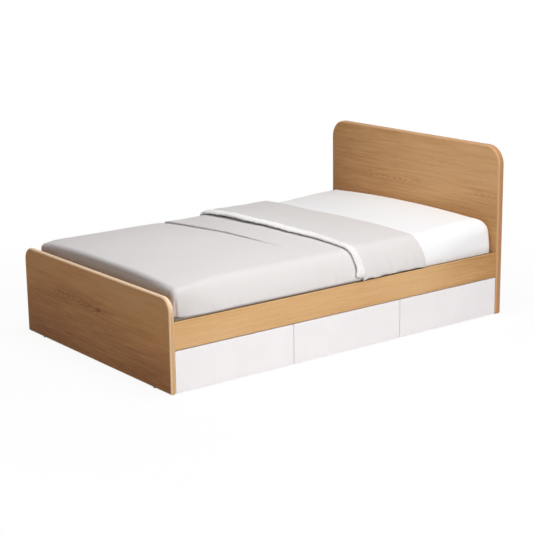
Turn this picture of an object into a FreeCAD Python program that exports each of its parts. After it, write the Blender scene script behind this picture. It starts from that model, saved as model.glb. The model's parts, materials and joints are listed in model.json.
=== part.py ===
"""Cabinet bed: two rounded end boards, a rail over three handleless drawers, a closed far side, a slatted
deck, and a mattress under a quilt that is turned back near the head.

The bed lies along Y with its head at +Y, its drawers open towards +X, and Z is up.
The origin is on the floor, under the middle of the space between the end boards. Lengths are in
millimetres.
"""

import FreeCAD, Part
import math
import os

import Sketcher

BAYS = ("foot", "middle", "head")
SLAT_COUNT = 12
CLEAT_SCREW_COUNT = 5
GLIDE_REACH_SHARE = 0.8
CLEAT_SCREW_REACH_SHARE = 0.8
BRACKET_SCREW_SHARE = 0.5
LEG_SCREW_SHARE = 0.62
TURN_ROUND_SHARE = 0.9
HEM_ROUND_SHARE = 0.46
FLAT_SHARE = 0.001

# Each row is an alias, its value in millimetres and what it measures.
DIMENSIONS = (
    ("mattress_width", "1180", "mattress across the bed"),
    ("mattress_length", "1880", "mattress along the bed"),
    ("mattress_thick", "208", "mattress from its base to the top of its crown"),
    ("mattress_side_corner", "90", "radius of the mattress's upper edges along its sides"),
    ("mattress_end_corner", "55", "radius of the mattress's upper edges across its ends"),
    ("mattress_plan_corner", "45", "radius of the mattress's corners seen from above"),
    ("crown_across", "14000", "radius of the mattress's crown across the bed"),
    ("crown_along", "60000", "radius of the mattress's crown along the bed"),
    ("side_gap", "15", "room between the mattress and each side rail"),
    ("head_gap", "8", "room between the mattress and the headboard"),
    ("foot_gap", "22", "room between the mattress and the footboard"),
    ("headboard_thick", "36", "headboard thickness"),
    ("footboard_thick", "26", "footboard thickness"),
    ("headboard_height", "842", "headboard from its foot to its top edge"),
    ("footboard_height", "422", "footboard from its foot to its top edge"),
    ("headboard_corner", "92", "radius of the headboard's top corners"),
    ("footboard_corner", "62", "radius of the footboard's top corners"),
    ("board_heel", "10", "radius of the end boards' bottom corners"),
    ("board_arris", "10", "rounding along the end boards' edges"),
    ("glide_height", "3", "floor glide thickness"),
    ("glide_radius", "9", "floor glide radius"),
    ("rail_top", "320", "height of the rail's top edge above the floor"),
    ("rail_depth", "124", "rail from its bottom edge to its top edge"),
    ("rail_thick", "20", "rail and far side panel thickness"),
    ("rail_inset", "5", "how far the rail stands back from the end boards' edges"),
    ("rail_arris", "2.5", "rounding along the rail's and side panel's edges"),
    ("floor_gap", "7", "room under the drawer fronts and the far side panel"),
    ("mattress_sink", "50", "how far the mattress lies below the rail's top edge"),
    ("slat_width", "90", "slat along the bed"),
    ("slat_thick", "18", "slat thickness"),
    ("slat_end_gap", "3", "room at each end of a slat"),
    ("slat_arris", "3", "rounding along a slat's edges"),
    ("cleat_height", "40", "slat cleat height"),
    ("cleat_thick", "30", "slat cleat thickness"),
    ("divider_thick", "18", "divider between two drawer bays"),
    ("bay_back_thick", "18", "board that closes a drawer bay behind its latch"),
    ("notch_clearance", "0.5", "room round a cleat in a divider's notch"),
    ("front_thick", "18", "drawer front thickness"),
    ("front_gap", "3", "gap between two drawer fronts"),
    ("front_top_gap", "4", "gap between the rail and the drawer fronts"),
    ("front_arris", "1.5", "rounding along a drawer front's edges"),
    ("box_depth", "540", "drawer box from its front to its back"),
    ("box_height", "120", "drawer side height"),
    ("box_base", "28", "height of a drawer side's lower edge above the floor"),
    ("side_thick", "15", "drawer side and back thickness"),
    ("bottom_thick", "5", "drawer bottom thickness"),
    ("groove_depth", "6", "depth of the grooves that hold the drawer bottom"),
    ("groove_rise", "10", "drawer side's lower edge to its groove"),
    ("groove_clearance", "0.2", "room round the drawer bottom in its grooves"),
    ("runner_height", "45", "runner height"),
    ("runner_thick", "12.7", "room that a runner takes beside a drawer"),
    ("runner_sheet", "1.2", "runner sheet metal thickness"),
    ("runner_play", "0.4", "running gap between two runner members"),
    ("runner_lip", "1.5", "how far a runner flange stops short of the wall it faces"),
    ("runner_setback", "3", "runner's front end behind the drawer front"),
    ("runner_length", "500", "runner length, which is also its travel"),
    ("runner_back_room", "2", "least room between a runner's back end and the bay back"),
    ("latch_length", "32", "least length of a latch body, from the bay back to its mouth"),
    ("latch_radius", "9", "latch barrel radius"),
    ("latch_plate_thick", "3", "latch mounting plate thickness"),
    ("latch_plate_width", "44", "latch mounting plate width"),
    ("latch_bore_end", "6", "solid end behind the latch bore"),
    ("plunger_radius", "4", "latch plunger radius"),
    ("plunger_play", "0.08", "running gap round the plunger in its bore"),
    ("plunger_out", "8", "how far the plunger stands out of the latch"),
    ("plunger_inside", "20", "how much of the plunger is inside the latch"),
    ("plunger_head_radius", "6", "plunger head radius"),
    ("plunger_head_thick", "3", "plunger head thickness"),
    ("tip_gap", "0.3", "room between the plunger and the drawer's back"),
    ("bracket_leg", "38", "corner bracket leg length"),
    ("bracket_thick", "2.5", "corner bracket sheet thickness"),
    ("bracket_height", "40", "corner bracket height"),
    ("bracket_room", "4", "room between a corner bracket and a cleat"),
    ("screw_radius", "2", "wood screw shank radius"),
    ("screw_length", "15", "bracket screw length under its head"),
    ("cleat_screw_length", "42", "cleat screw length under its head"),
    ("screw_head_radius", "4.5", "wood screw head radius"),
    ("screw_head_height", "2.6", "wood screw head height"),
    ("screw_clearance", "0.1", "room round a screw in its hole"),
    ("quilt_thick", "9", "one layer of the quilt"),
    ("quilt_gap", "0.5", "room under each layer of bedding"),
    ("quilt_tuck", "20", "how far the quilt is tucked down behind the rails"),
    ("turn_reach", "515", "headboard to the fold where the quilt turns back"),
    ("flap_length", "400", "length of the turned-back part of the quilt"),
    ("hem_width", "26", "width of the quilt's plump hem"),
    ("hem_proud", "4", "how far the hem stands above the turned-back part"),
)

# Places and sizes that follow from the driving dimensions.
HALF_CLEAR = "(dims.mattress_width / 2 + dims.side_gap)"
RAIL_FACE = f"({HALF_CLEAR} + dims.rail_thick)"
HALF_BOARD = f"({RAIL_FACE} + dims.rail_inset)"
CLEAR_LENGTH = "(dims.mattress_length + dims.head_gap + dims.foot_gap)"
HALF_LENGTH = f"({CLEAR_LENGTH} / 2)"
MATTRESS_MIDDLE = "((dims.foot_gap - dims.head_gap) / 2)"
RAIL_BASE = "(dims.rail_top - dims.rail_depth)"
SLAT_TOP = "(dims.rail_top - dims.mattress_sink)"
SLAT_BASE = f"({SLAT_TOP} - dims.slat_thick)"
BAY_LENGTH = f"(({CLEAR_LENGTH} - {len(BAYS) - 1} * dims.divider_thick) / {len(BAYS)})"
FRONT_PITCH = f"({CLEAR_LENGTH} / {len(BAYS)})"
FRONT_BACK = f"({RAIL_FACE} - dims.front_thick)"
BOX_BACK = f"({FRONT_BACK} - dims.box_depth)"
BOX_WIDTH = f"({BAY_LENGTH} - 2 * dims.runner_thick)"
RUNNER_BACK = f"({FRONT_BACK} - dims.runner_setback - dims.runner_length)"
BOX_MIDDLE = "(dims.box_base + dims.box_height / 2)"
LATCH_MOUTH = f"({BOX_BACK} - dims.tip_gap - dims.plunger_out)"
BAY_BACK_FACE = f"min({LATCH_MOUTH} - dims.latch_length; {RUNNER_BACK} - dims.runner_back_room)"
CLEAT_HALF_LENGTH = f"({HALF_LENGTH} - dims.bracket_leg - dims.bracket_room)"
FOLD_Y = f"({HALF_LENGTH} - dims.turn_reach)"
HEM_Y = f"({FOLD_Y} - dims.flap_length)"

doc = FreeCAD.newDocument("cabinet_bed")
sheet = doc.addObject("Spreadsheet::Sheet", "dims")
sub_parts = []


def fill_sheet():
    """Writes the driving dimensions into the sheet, each with its alias."""
    for row, (alias, value, meaning) in enumerate(DIMENSIONS, start=1):
        sheet.set(f"A{row}", meaning)
        sheet.set(f"B{row}", value)
        sheet.setAlias(f"B{row}", alias)
    doc.recompute()


def value_of(expression):
    """The number that an expression on the sheet stands for."""
    return float(sheet.evalExpression(expression))


def bind(target, expressions):
    """Ties properties of an object to expressions on the sheet."""
    for path, expression in expressions.items():
        target.setExpression(path, expression)


def put(target, place):
    """Ties an object's position to three expressions."""
    bind(target, {f"Placement.Base.{axis}": where for axis, where in zip("xyz", place)})


def keep(target, label):
    """Names a finished sub-part and lists it for export."""
    target.Label = label
    sub_parts.append(target)
    return target


def inner_low(side, face, thick):
    """Low coordinate of a layer inside a face, at the positive or the negative side of the bed."""
    return f"({face} - {thick})" if side > 0 else f"(-{face})"


def block_sizes(size):
    """Property bindings that give a block its three sizes."""
    return dict(zip(("Length", "Width", "Height"), size))


def blank_body(name, low, size):
    """A body that starts as a rectangular block, from its low corner and its sizes along X, Y and Z."""
    body = doc.addObject("PartDesign::Body", name)
    blank = body.newObject("PartDesign::AdditiveBox", f"{name}_blank")
    bind(blank, block_sizes(size))
    put(blank, low)
    doc.recompute()
    return body


def board(label, low, size):
    """A sub-part that starts as a rectangular board, from its low corner and its sizes along X, Y and Z."""
    return keep(blank_body(label, low, size), label)


def cut_block(body, name, low, size):
    """Cuts a rectangular notch or groove out of a body."""
    cutter = body.newObject("PartDesign::SubtractiveBox", name)
    bind(cutter, block_sizes(size))
    put(cutter, low)
    doc.recompute()


def drill(body, name, mouth, direction, radius, depth):
    """Drills a round hole into a body from its mouth, along a direction."""
    cutter = body.newObject("PartDesign::SubtractiveCylinder", name)
    cutter.Placement.Rotation = turned_to(direction)
    bind(cutter, {"Radius": radius, "Height": depth})
    put(cutter, mouth)
    doc.recompute()


def round_edges(body, name, radius, wanted):
    """Rounds the edges of a body that a test picks out."""
    base = body.Tip
    edges = [f"Edge{i}" for i, edge in enumerate(base.Shape.Edges, start=1) if wanted(edge)]
    rounding = body.newObject("PartDesign::Fillet", name)
    rounding.Base = (base, edges)
    bind(rounding, {"Radius": radius})
    doc.recompute()


def every_edge(edge):
    """Picks every edge."""
    return True


def runs_along_y(edge):
    """Picks the straight edges that run along the bed."""
    box = edge.BoundBox
    return box.YLength > max(box.XLength, box.ZLength)


def stands_upright(edge):
    """Picks the straight edges that stand upright."""
    box = edge.BoundBox
    return box.ZLength > max(box.XLength, box.YLength)


def lies_across_y(edge):
    """Picks the edges that lie in a plane across the bed."""
    box = edge.BoundBox
    return box.YLength < FLAT_SHARE * box.DiagonalLength


def turned_to(direction):
    """The rotation that turns a cylinder's own axis to a direction."""
    return FreeCAD.Rotation(FreeCAD.Vector(0, 0, 1), FreeCAD.Vector(*direction))


def block(low, size):
    """A rectangular block from its low corner and its sizes along X, Y and Z."""
    made = doc.addObject("Part::Box", "block")
    bind(made, block_sizes(size))
    put(made, low)
    return made


def rod(foot, direction, radius, length):
    """A round rod that starts at a point and runs along a direction."""
    made = doc.addObject("Part::Cylinder", "rod")
    made.Placement.Rotation = turned_to(direction)
    bind(made, {"Radius": radius, "Height": length})
    put(made, foot)
    return made


def fused(pieces):
    """One solid made of several that touch."""
    made = doc.addObject("Part::MultiFuse", "fused")
    made.Shapes = pieces
    made.Refine = True
    return made


def shared(pieces):
    """What several solids have in common."""
    made = doc.addObject("Part::MultiCommon", "shared")
    made.Shapes = pieces
    return made


def cut(base, tool):
    """A solid with another taken out of it."""
    made = doc.addObject("Part::Cut", "cut")
    made.Base = base
    made.Tool = tool
    return made


def eased(base, radius, wanted):
    """A solid with the edges that a test picks out rounded."""
    doc.recompute()
    made = doc.addObject("Part::Fillet", "eased")
    made.Base = base
    size = value_of(radius)
    made.Edges = [(i, size, size) for i, edge in enumerate(base.Shape.Edges, start=1) if wanted(edge)]
    return made


def group(label, pieces):
    """Several separate solids under one label."""
    made = doc.addObject("Part::Compound", label)
    made.Links = pieces
    return keep(made, label)


def opposite(direction):
    """The direction that points the other way."""
    return tuple(-part for part in direction)


def screw(seat, direction, length):
    """A round-headed wood screw, from the face its head sits on and the way its shank points."""
    shank = rod(seat, direction, "dims.screw_radius", length)
    head = rod(seat, opposite(direction), "dims.screw_head_radius", "dims.screw_head_height")
    return fused([shank, head])


def end_board(label, low_y, thick, height, corner):
    """A headboard or footboard: a board with round top corners, eased heels and a rounded edge all round."""
    body = board(label, (f"-{HALF_BOARD}", low_y, "dims.glide_height"),
                 (f"2 * {HALF_BOARD}", thick, height))
    middle = value_of(f"dims.glide_height + {height} / 2")
    round_edges(body, f"{label}_corners", corner,
                lambda edge: runs_along_y(edge) and edge.CenterOfMass.z > middle)
    round_edges(body, f"{label}_heels", "dims.board_heel",
                lambda edge: runs_along_y(edge) and edge.CenterOfMass.z < value_of("dims.board_heel"))
    round_edges(body, f"{label}_arris", "dims.board_arris", lies_across_y)
    return body


def make_frame():
    """The end boards, the rail over the drawers and the closed far side."""
    head = end_board("headboard", HALF_LENGTH, "dims.headboard_thick", "dims.headboard_height",
                     "dims.headboard_corner")
    foot = end_board("footboard", f"-{HALF_LENGTH} - dims.footboard_thick", "dims.footboard_thick",
                     "dims.footboard_height", "dims.footboard_corner")
    rail = board("right_rail", (HALF_CLEAR, f"-{HALF_LENGTH}", RAIL_BASE),
                 ("dims.rail_thick", CLEAR_LENGTH, "dims.rail_depth"))
    panel = board("left_panel", (f"-{RAIL_FACE}", f"-{HALF_LENGTH}", "dims.floor_gap"),
                  ("dims.rail_thick", CLEAR_LENGTH, "dims.rail_top - dims.floor_gap"))
    for body in (rail, panel):
        round_edges(body, f"{body.Label}_arris", "dims.rail_arris", every_edge)
    return {"head": head, "foot": foot, "right": rail, "left": panel}


def make_dividers():
    """The two boards between the drawer bays, notched for the slat cleats."""
    for index, bay in enumerate(("foot", "head")):
        low_y = f"-{HALF_LENGTH} + {index + 1} * {BAY_LENGTH} + {index} * dims.divider_thick"
        body = board(f"{bay}_divider", (f"-{HALF_CLEAR}", low_y, "dims.glide_height"),
                     (f"2 * {HALF_CLEAR}", "dims.divider_thick", f"{SLAT_BASE} - dims.glide_height"))
        notch = "(dims.cleat_thick + dims.notch_clearance)"
        depth = "(dims.cleat_height + dims.notch_clearance)"
        for side in (1, -1):
            cut_block(body, f"{bay}_divider_notch", (inner_low(side, HALF_CLEAR, notch), low_y,
                      f"{SLAT_BASE} - {depth}"), (notch, "dims.divider_thick", depth))


def make_bay_backs():
    """The boards behind the drawers, which carry the latches and the middle of the slats."""
    for index, bay in enumerate(BAYS):
        low_y = f"-{HALF_LENGTH} + {index} * ({BAY_LENGTH} + dims.divider_thick)"
        board(f"{bay}_bay_back", (f"{BAY_BACK_FACE} - dims.bay_back_thick", low_y, "dims.floor_gap"),
              ("dims.bay_back_thick", BAY_LENGTH, f"{SLAT_BASE} - dims.floor_gap"))


def make_cleats(frame):
    """The battens that carry the slats' ends, screwed to the rail and the far side panel."""
    screws = []
    height = f"{SLAT_BASE} - dims.cleat_height / 2"
    for side, name in ((1, "right"), (-1, "left")):
        low_x = inner_low(side, HALF_CLEAR, "dims.cleat_thick")
        cleat = board(f"{name}_cleat", (low_x, f"-{CLEAT_HALF_LENGTH}", f"{SLAT_BASE} - dims.cleat_height"),
                      ("dims.cleat_thick", f"2 * {CLEAT_HALF_LENGTH}", "dims.cleat_height"))
        for number in range(CLEAT_SCREW_COUNT):
            reach_share = CLEAT_SCREW_REACH_SHARE * (2 * number / (CLEAT_SCREW_COUNT - 1) - 1)
            seat_y = f"{reach_share} * {CLEAT_HALF_LENGTH}"
            seat = (f"{side} * ({HALF_CLEAR} - dims.cleat_thick)", seat_y, height)
            for body in (cleat, frame[name]):
                drill(body, f"{name}_cleat_hole", seat, (side, 0, 0),
                      "dims.screw_radius + dims.screw_clearance",
                      "dims.cleat_screw_length + dims.screw_clearance")
            screws.append(screw(seat, (side, 0, 0), "dims.cleat_screw_length"))
    group("cleat_screws", screws)


def make_slats():
    """The slats across the bed, evenly spaced, with eased edges."""
    pitch = f"({CLEAR_LENGTH} / {SLAT_COUNT})"
    half = f"({HALF_CLEAR} - dims.slat_end_gap)"
    for number in range(SLAT_COUNT):
        low_y = f"-{HALF_LENGTH} + {number + 0.5} * {pitch} - dims.slat_width / 2"
        body = board(f"slat_{number + 1:02d}", (f"-{half}", low_y, SLAT_BASE),
                     (f"2 * {half}", "dims.slat_width", "dims.slat_thick"))
        round_edges(body, f"{body.Label}_arris", "dims.slat_arris", every_edge)


def bracket_screws(side, end):
    """The seats and directions of one corner bracket's screws, two in each leg."""
    leg = f"({LEG_SCREW_SHARE} * dims.bracket_leg)"
    in_x = f"({HALF_CLEAR} - dims.bracket_thick)"
    in_y = f"({HALF_LENGTH} - dims.bracket_thick)"
    middle = f"{SLAT_BASE} - dims.bracket_height / 2"
    for step in (-1, 1):
        z = f"{middle} + {step} * {BRACKET_SCREW_SHARE} * dims.bracket_height / 2"
        yield (f"{side} * {in_x}", f"{end} * ({HALF_LENGTH} - {leg})", z), (side, 0, 0)
        yield (f"{side} * ({HALF_CLEAR} - {leg})", f"{end} * {in_y}", z), (0, end, 0)


def make_brackets(frame):
    """The steel angle brackets in the four inner corners, and their screws."""
    brackets = []
    screws = []
    hole = "dims.screw_radius + dims.screw_clearance"
    depth = "dims.screw_length + dims.screw_clearance"
    leg, thick, height = "dims.bracket_leg", "dims.bracket_thick", "dims.bracket_height"
    for side, side_name in ((1, "right"), (-1, "left")):
        for end, end_name in ((1, "head"), (-1, "foot")):
            low_z = f"{SLAT_BASE} - {height}"
            on_side = block((inner_low(side, HALF_CLEAR, thick), inner_low(end, HALF_LENGTH, leg), low_z),
                            (thick, leg, height))
            on_end = block((inner_low(side, HALF_CLEAR, leg), inner_low(end, HALF_LENGTH, thick), low_z),
                           (leg, thick, height))
            holes = []
            for seat, direction in bracket_screws(side, end):
                target = frame[side_name if direction[0] else end_name]
                drill(target, f"{target.Label}_pilot", seat, direction, hole, depth)
                holes.append(rod(seat, direction, hole, depth))
                screws.append(screw(seat, direction, "dims.screw_length"))
            brackets.append(cut(fused([on_side, on_end]), fused(holes)))
    group("corner_brackets", brackets)
    group("bracket_screws", screws)


def make_glides():
    """The plastic glides under the end boards and the dividers."""
    reach = f"({GLIDE_REACH_SHARE} * {HALF_CLEAR})"
    divider_y = f"({BAY_LENGTH} + dims.divider_thick) / 2"
    rows = (f"{HALF_LENGTH} + dims.headboard_thick / 2", divider_y, f"-{divider_y}",
            f"-{HALF_LENGTH} - dims.footboard_thick / 2")
    glides = [rod((f"{side} * {reach}", row, "0"), (0, 0, 1), "dims.glide_radius", "dims.glide_height")
              for row in rows for side in (1, -1)]
    group("floor_glides", glides)


def bay_middle(index):
    """The middle of a drawer bay along the bed."""
    return f"(-{HALF_LENGTH} + {index + 0.5} * {BAY_LENGTH} + {index} * dims.divider_thick)"


def make_drawer(index, bay):
    """One drawer: a lacquered front on a box of two sides, a back and a bottom that lies in grooves."""
    middle = bay_middle(index)
    front_low = f"-{HALF_LENGTH} + {index} * {FRONT_PITCH} + dims.front_gap / 2"
    front = board(f"{bay}_drawer_front", (FRONT_BACK, front_low, "dims.floor_gap"),
                  ("dims.front_thick", f"{FRONT_PITCH} - dims.front_gap",
                   f"{RAIL_BASE} - dims.front_top_gap - dims.floor_gap"))
    round_edges(front, f"{front.Label}_arris", "dims.front_arris", every_edge)
    sides = {}
    for end, name in ((-1, "foot"), (1, "head")):
        low_y = f"{middle} + {inner_low(end, f'({BOX_WIDTH} / 2)', 'dims.side_thick')}"
        sides[end] = board(f"{bay}_drawer_{name}_side", (BOX_BACK, low_y, "dims.box_base"),
                           ("dims.box_depth", "dims.side_thick", "dims.box_height"))
    half_inside = f"({BOX_WIDTH} / 2 - dims.side_thick)"
    back = board(f"{bay}_drawer_back", (BOX_BACK, f"{middle} - {half_inside}", "dims.box_base"),
                 ("dims.side_thick", f"2 * {half_inside}", "dims.box_height"))
    groove_low = (f"{BOX_BACK} + dims.side_thick - dims.groove_depth",
                  f"{middle} - {half_inside} - dims.groove_depth",
                  "dims.box_base + dims.groove_rise")
    groove_size = ("dims.box_depth - dims.side_thick + 2 * dims.groove_depth",
                   f"2 * ({half_inside} + dims.groove_depth)",
                   "dims.bottom_thick + 2 * dims.groove_clearance")
    for body in (front, back, sides[-1], sides[1]):
        cut_block(body, f"{body.Label}_groove", groove_low, groove_size)
    board(f"{bay}_drawer_bottom", [f"{low} + dims.groove_clearance" for low in groove_low],
          [f"{size} - 2 * dims.groove_clearance" for size in groove_size])


def channel(low, size, opening):
    """A runner member: a block along X with a deep channel in it, open to the high or the low side in Y."""
    outer = block(low, size)
    web = "dims.runner_sheet"
    shift = web if opening > 0 else f"-{web}"
    inner = block((low[0], f"{low[1]} + {shift}", f"{low[2]} + {web}"),
                  (size[0], size[1], f"{size[2]} - 2 * {web}"))
    return cut(outer, inner)


def make_runners(index, bay):
    """The two telescopic runners of one drawer: members on the carcase, in the middle and on the drawer."""
    middle = bay_middle(index)
    nest = "(dims.runner_sheet + dims.runner_play)"
    members = {"outer": [], "middle": [], "inner": []}
    reach = f"(dims.runner_thick - dims.runner_lip - {nest})"
    for end in (-1, 1):
        wall = f"({BAY_LENGTH} / 2)"
        for depth, name in enumerate(members):
            height = f"(dims.runner_height - {2 * depth} * {nest})"
            on_drawer = name == "inner"
            wide = f"(dims.runner_thick - 2 * {nest} - dims.runner_play)" if on_drawer else reach
            stand = f"({wall} - dims.runner_thick + {wide})" if on_drawer else f"({wall} - {depth} * {nest})"
            low_y = f"{middle} + {inner_low(end, stand, wide)}"
            low = (RUNNER_BACK, low_y, f"{BOX_MIDDLE} - {height} / 2")
            size = ("dims.runner_length", wide, height)
            members[name].append(channel(low, size, end if on_drawer else -end))
    for name, pair in members.items():
        group(f"{bay}_runner_{name}", pair)


def make_latch(index, bay):
    """One push latch: a barrel on a plate, fixed to the bay back, and its sprung plunger."""
    middle = bay_middle(index)
    forward = (1, 0, 0)
    plate_y = f"{middle} - dims.latch_plate_width / 2"
    plate = block((BAY_BACK_FACE, plate_y, f"{BOX_MIDDLE} - dims.latch_radius"),
                  ("dims.latch_plate_thick", "dims.latch_plate_width", "2 * dims.latch_radius"))
    barrel = rod((BAY_BACK_FACE, middle, BOX_MIDDLE), forward, "dims.latch_radius",
                 f"{LATCH_MOUTH} - {BAY_BACK_FACE}")
    bore_depth = "(dims.latch_length - dims.latch_bore_end)"
    bore = rod((f"{LATCH_MOUTH} - {bore_depth}", middle, BOX_MIDDLE), forward,
               "dims.plunger_radius + dims.plunger_play", bore_depth)
    keep(cut(fused([plate, barrel]), bore), f"{bay}_latch_body")
    stem = rod((f"{LATCH_MOUTH} - dims.plunger_inside", middle, BOX_MIDDLE), forward, "dims.plunger_radius",
               "dims.plunger_inside + dims.plunger_out")
    head = rod((f"{LATCH_MOUTH} + dims.plunger_out - dims.plunger_head_thick", middle, BOX_MIDDLE), forward,
               "dims.plunger_head_radius", "dims.plunger_head_thick")
    keep(fused([stem, head]), f"{bay}_latch_plunger")


def arch_sketch(half_width, top, corner, crown, base, along_bed):
    """An upright bedding outline: flat base, straight sides, round upper corners and a crowned top."""
    outline = doc.addObject("Sketcher::SketchObject", "arch")
    turn = FreeCAD.Rotation(FreeCAD.Vector(1, 0, 0), 90)
    quarter = FreeCAD.Rotation(FreeCAD.Vector(0, 0, 1), 90)
    outline.Placement.Rotation = quarter.multiply(turn) if along_bed else turn
    wide, high, small, large, low = (value_of(size) for size in (half_width, top, corner, crown, base))
    crown_middle = FreeCAD.Vector(0, high - large, 0)
    shoulder = crown_middle.y + math.sqrt((large - small) ** 2 - (wide - small) ** 2)
    lean = math.atan2(shoulder - crown_middle.y, wide - small)
    up = FreeCAD.Vector(0, 0, 1)
    corners = [Part.Circle(FreeCAD.Vector(side * (wide - small), shoulder, 0), up, small) for side in (-1, 1)]
    outline.addGeometry([
        Part.LineSegment(FreeCAD.Vector(-wide, low, 0), FreeCAD.Vector(-wide, shoulder, 0)),
        Part.ArcOfCircle(corners[0], math.pi - lean, math.pi),
        Part.ArcOfCircle(Part.Circle(crown_middle, up, large), lean, math.pi - lean),
        Part.ArcOfCircle(corners[1], 0, lean),
        Part.LineSegment(FreeCAD.Vector(wide, shoulder, 0), FreeCAD.Vector(wide, low, 0)),
        Part.LineSegment(FreeCAD.Vector(wide, low, 0), FreeCAD.Vector(-wide, low, 0)),
    ], False)
    outline.addConstraint([
        Sketcher.Constraint("Tangent", 0, 2, 1, 2),
        Sketcher.Constraint("Tangent", 1, 1, 2, 2),
        Sketcher.Constraint("Tangent", 2, 1, 3, 2),
        Sketcher.Constraint("Tangent", 3, 1, 4, 1),
        Sketcher.Constraint("Coincident", 4, 2, 5, 1),
        Sketcher.Constraint("Coincident", 5, 2, 0, 1),
        Sketcher.Constraint("Vertical", 0),
        Sketcher.Constraint("Vertical", 4),
        Sketcher.Constraint("Symmetric", 5, 1, 5, 2, -2),
        Sketcher.Constraint("PointOnObject", 2, 3, -2),
        Sketcher.Constraint("Equal", 1, 3),
    ])
    sizes = {
        "corner": (Sketcher.Constraint("Radius", 3, small), corner),
        "crown": (Sketcher.Constraint("Radius", 2, large), crown),
        "half_width": (Sketcher.Constraint("DistanceX", -1, 1, 4, 2, wide), half_width),
        "base": (Sketcher.Constraint("DistanceY", -1, 1, 4, 2, low), base),
        "sagitta": (Sketcher.Constraint("DistanceY", 2, 3, -1, 1, large - high), f"{crown} - {top}"),
    }
    for name, (constraint, expression) in sizes.items():
        outline.renameConstraint(outline.addConstraint(constraint), name)
        outline.setExpression(f"Constraints.{name}", expression)
    return outline


def bedding_form(growth, base):
    """The mattress's form, grown all round, from a base height up: crowned and round-edged both ways."""
    top = f"({SLAT_TOP} + dims.mattress_thick + {growth})"
    corners = (f"(dims.mattress_side_corner + {growth})", f"(dims.mattress_end_corner + {growth})")
    spans = (f"(dims.mattress_width / 2 + {growth})", f"(dims.mattress_length / 2 + {growth})")
    crowns = (f"(dims.crown_across + {growth})", f"(dims.crown_along + {growth})")
    runs = []
    for along_bed in (False, True):
        outline = arch_sketch(spans[along_bed], top, corners[along_bed], crowns[along_bed], base, along_bed)
        bind(outline, {"Placement.Base.y": MATTRESS_MIDDLE})
        run = doc.addObject("Part::Extrusion", "run")
        run.Base = outline
        run.DirMode = "Normal"
        run.Solid = True
        run.Symmetric = True
        bind(run, {"LengthFwd": f"2 * {spans[not along_bed]}"})
        runs.append(run)
    plan = blank_body("plan", (f"-{spans[0]}", f"{MATTRESS_MIDDLE} - {spans[1]}", base),
                      (f"2 * {spans[0]}", f"2 * {spans[1]}", f"{top} - {base}"))
    round_edges(plan, "plan_corners", f"dims.mattress_plan_corner + {growth}", stands_upright)
    return shared(runs + [plan])


def outer_edges_at(place_y, core):
    """A test that picks the edges at a place along the bed, well outside a core form and above the rail."""
    near = FLAT_SHARE * value_of("dims.flap_length")
    stand_off = value_of("dims.quilt_thick")
    rail_rest = value_of("dims.rail_top + 2 * dims.quilt_gap")

    def wanted(edge):
        """Picks an edge by its place and by how far its middle lies from the core."""
        if not lies_across_y(edge) or abs(edge.CenterOfMass.y - value_of(place_y)) > near:
            return False
        middle = edge.valueAt((edge.FirstParameter + edge.LastParameter) / 2)
        far_out = core.Shape.distToShape(Part.Vertex(middle))[0] > stand_off
        return far_out and middle.z > rail_rest

    return wanted


def between(low_y, high_y):
    """A block that holds everything of the bed between two places along it."""
    size = (f"2 * {HALF_BOARD}", f"{high_y} - ({low_y})", "dims.headboard_height")
    return block((f"-{HALF_BOARD}", low_y, "0"), size)


def make_bedding():
    """The mattress, the quilt that is tucked round it and turned back, and the quilt's plump hem."""
    keep(bedding_form("0", SLAT_TOP), "mattress")
    tuck = "(dims.rail_top - dims.quilt_tuck)"
    rest = "(dims.rail_top + dims.quilt_gap)"
    under = "dims.quilt_gap"
    over = "(dims.quilt_gap + dims.quilt_thick)"
    flap_under = f"({over} + dims.quilt_gap)"
    flap_over = f"({flap_under} + dims.quilt_thick)"
    hem_over = f"({flap_over} + dims.hem_proud)"
    foot_y = f"(-{HALF_LENGTH} - dims.footboard_thick)"
    inside = bedding_form(under, tuck)
    flap_inside = bedding_form(flap_under, tuck)
    flap_outside = bedding_form(flap_over, rest)
    layer = cut(shared([bedding_form(over, tuck), between(foot_y, FOLD_Y)]), inside)
    flap = cut(shared([flap_outside, between(HEM_Y, FOLD_Y)]), flap_inside)
    turn = cut(shared([flap_outside, between(f"({FOLD_Y} - dims.quilt_thick)", FOLD_Y)]), inside)
    turn_round = f"{TURN_ROUND_SHARE} * (2 * dims.quilt_thick + dims.quilt_gap)"
    quilt = eased(fused([layer, flap, turn]), turn_round, outer_edges_at(FOLD_Y, inside))
    keep(quilt, "quilt")
    hem_foot = f"({HEM_Y} - dims.hem_width)"
    hem = cut(shared([bedding_form(hem_over, rest), between(hem_foot, HEM_Y)]), flap_inside)
    hem_round = f"{HEM_ROUND_SHARE} * (dims.quilt_thick + dims.hem_proud)"
    for place_y in (hem_foot, HEM_Y):
        hem = eased(hem, hem_round, outer_edges_at(place_y, flap_inside))
    keep(hem, "quilt_hem")


def check_and_export():
    """Stops if an object failed or a sub-part is not sound, and else writes each sub-part's STEP file."""
    doc.recompute()
    failed = [thing.Label for thing in doc.Objects if {"Invalid", "Error"} & set(thing.State)]
    if failed:
        raise RuntimeError(f"these objects failed: {failed}")
    for part in sub_parts:
        if part.Shape.isNull() or not part.Shape.isValid() or not part.Shape.Solids:
            raise RuntimeError(f"{part.Label} has no sound solid")
    os.makedirs("parts", exist_ok=True)
    for part in sub_parts:
        part.Shape.exportStep(os.path.join("parts", f"{part.Label}.step"))


def main():
    """Builds the bed, piece by piece, and writes it out."""
    fill_sheet()
    frame = make_frame()
    make_dividers()
    make_bay_backs()
    make_cleats(frame)
    make_slats()
    make_brackets(frame)
    make_glides()
    for index, bay in enumerate(BAYS):
        make_drawer(index, bay)
        make_runners(index, bay)
        make_latch(index, bay)
    make_bedding()
    check_and_export()


main()
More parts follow.
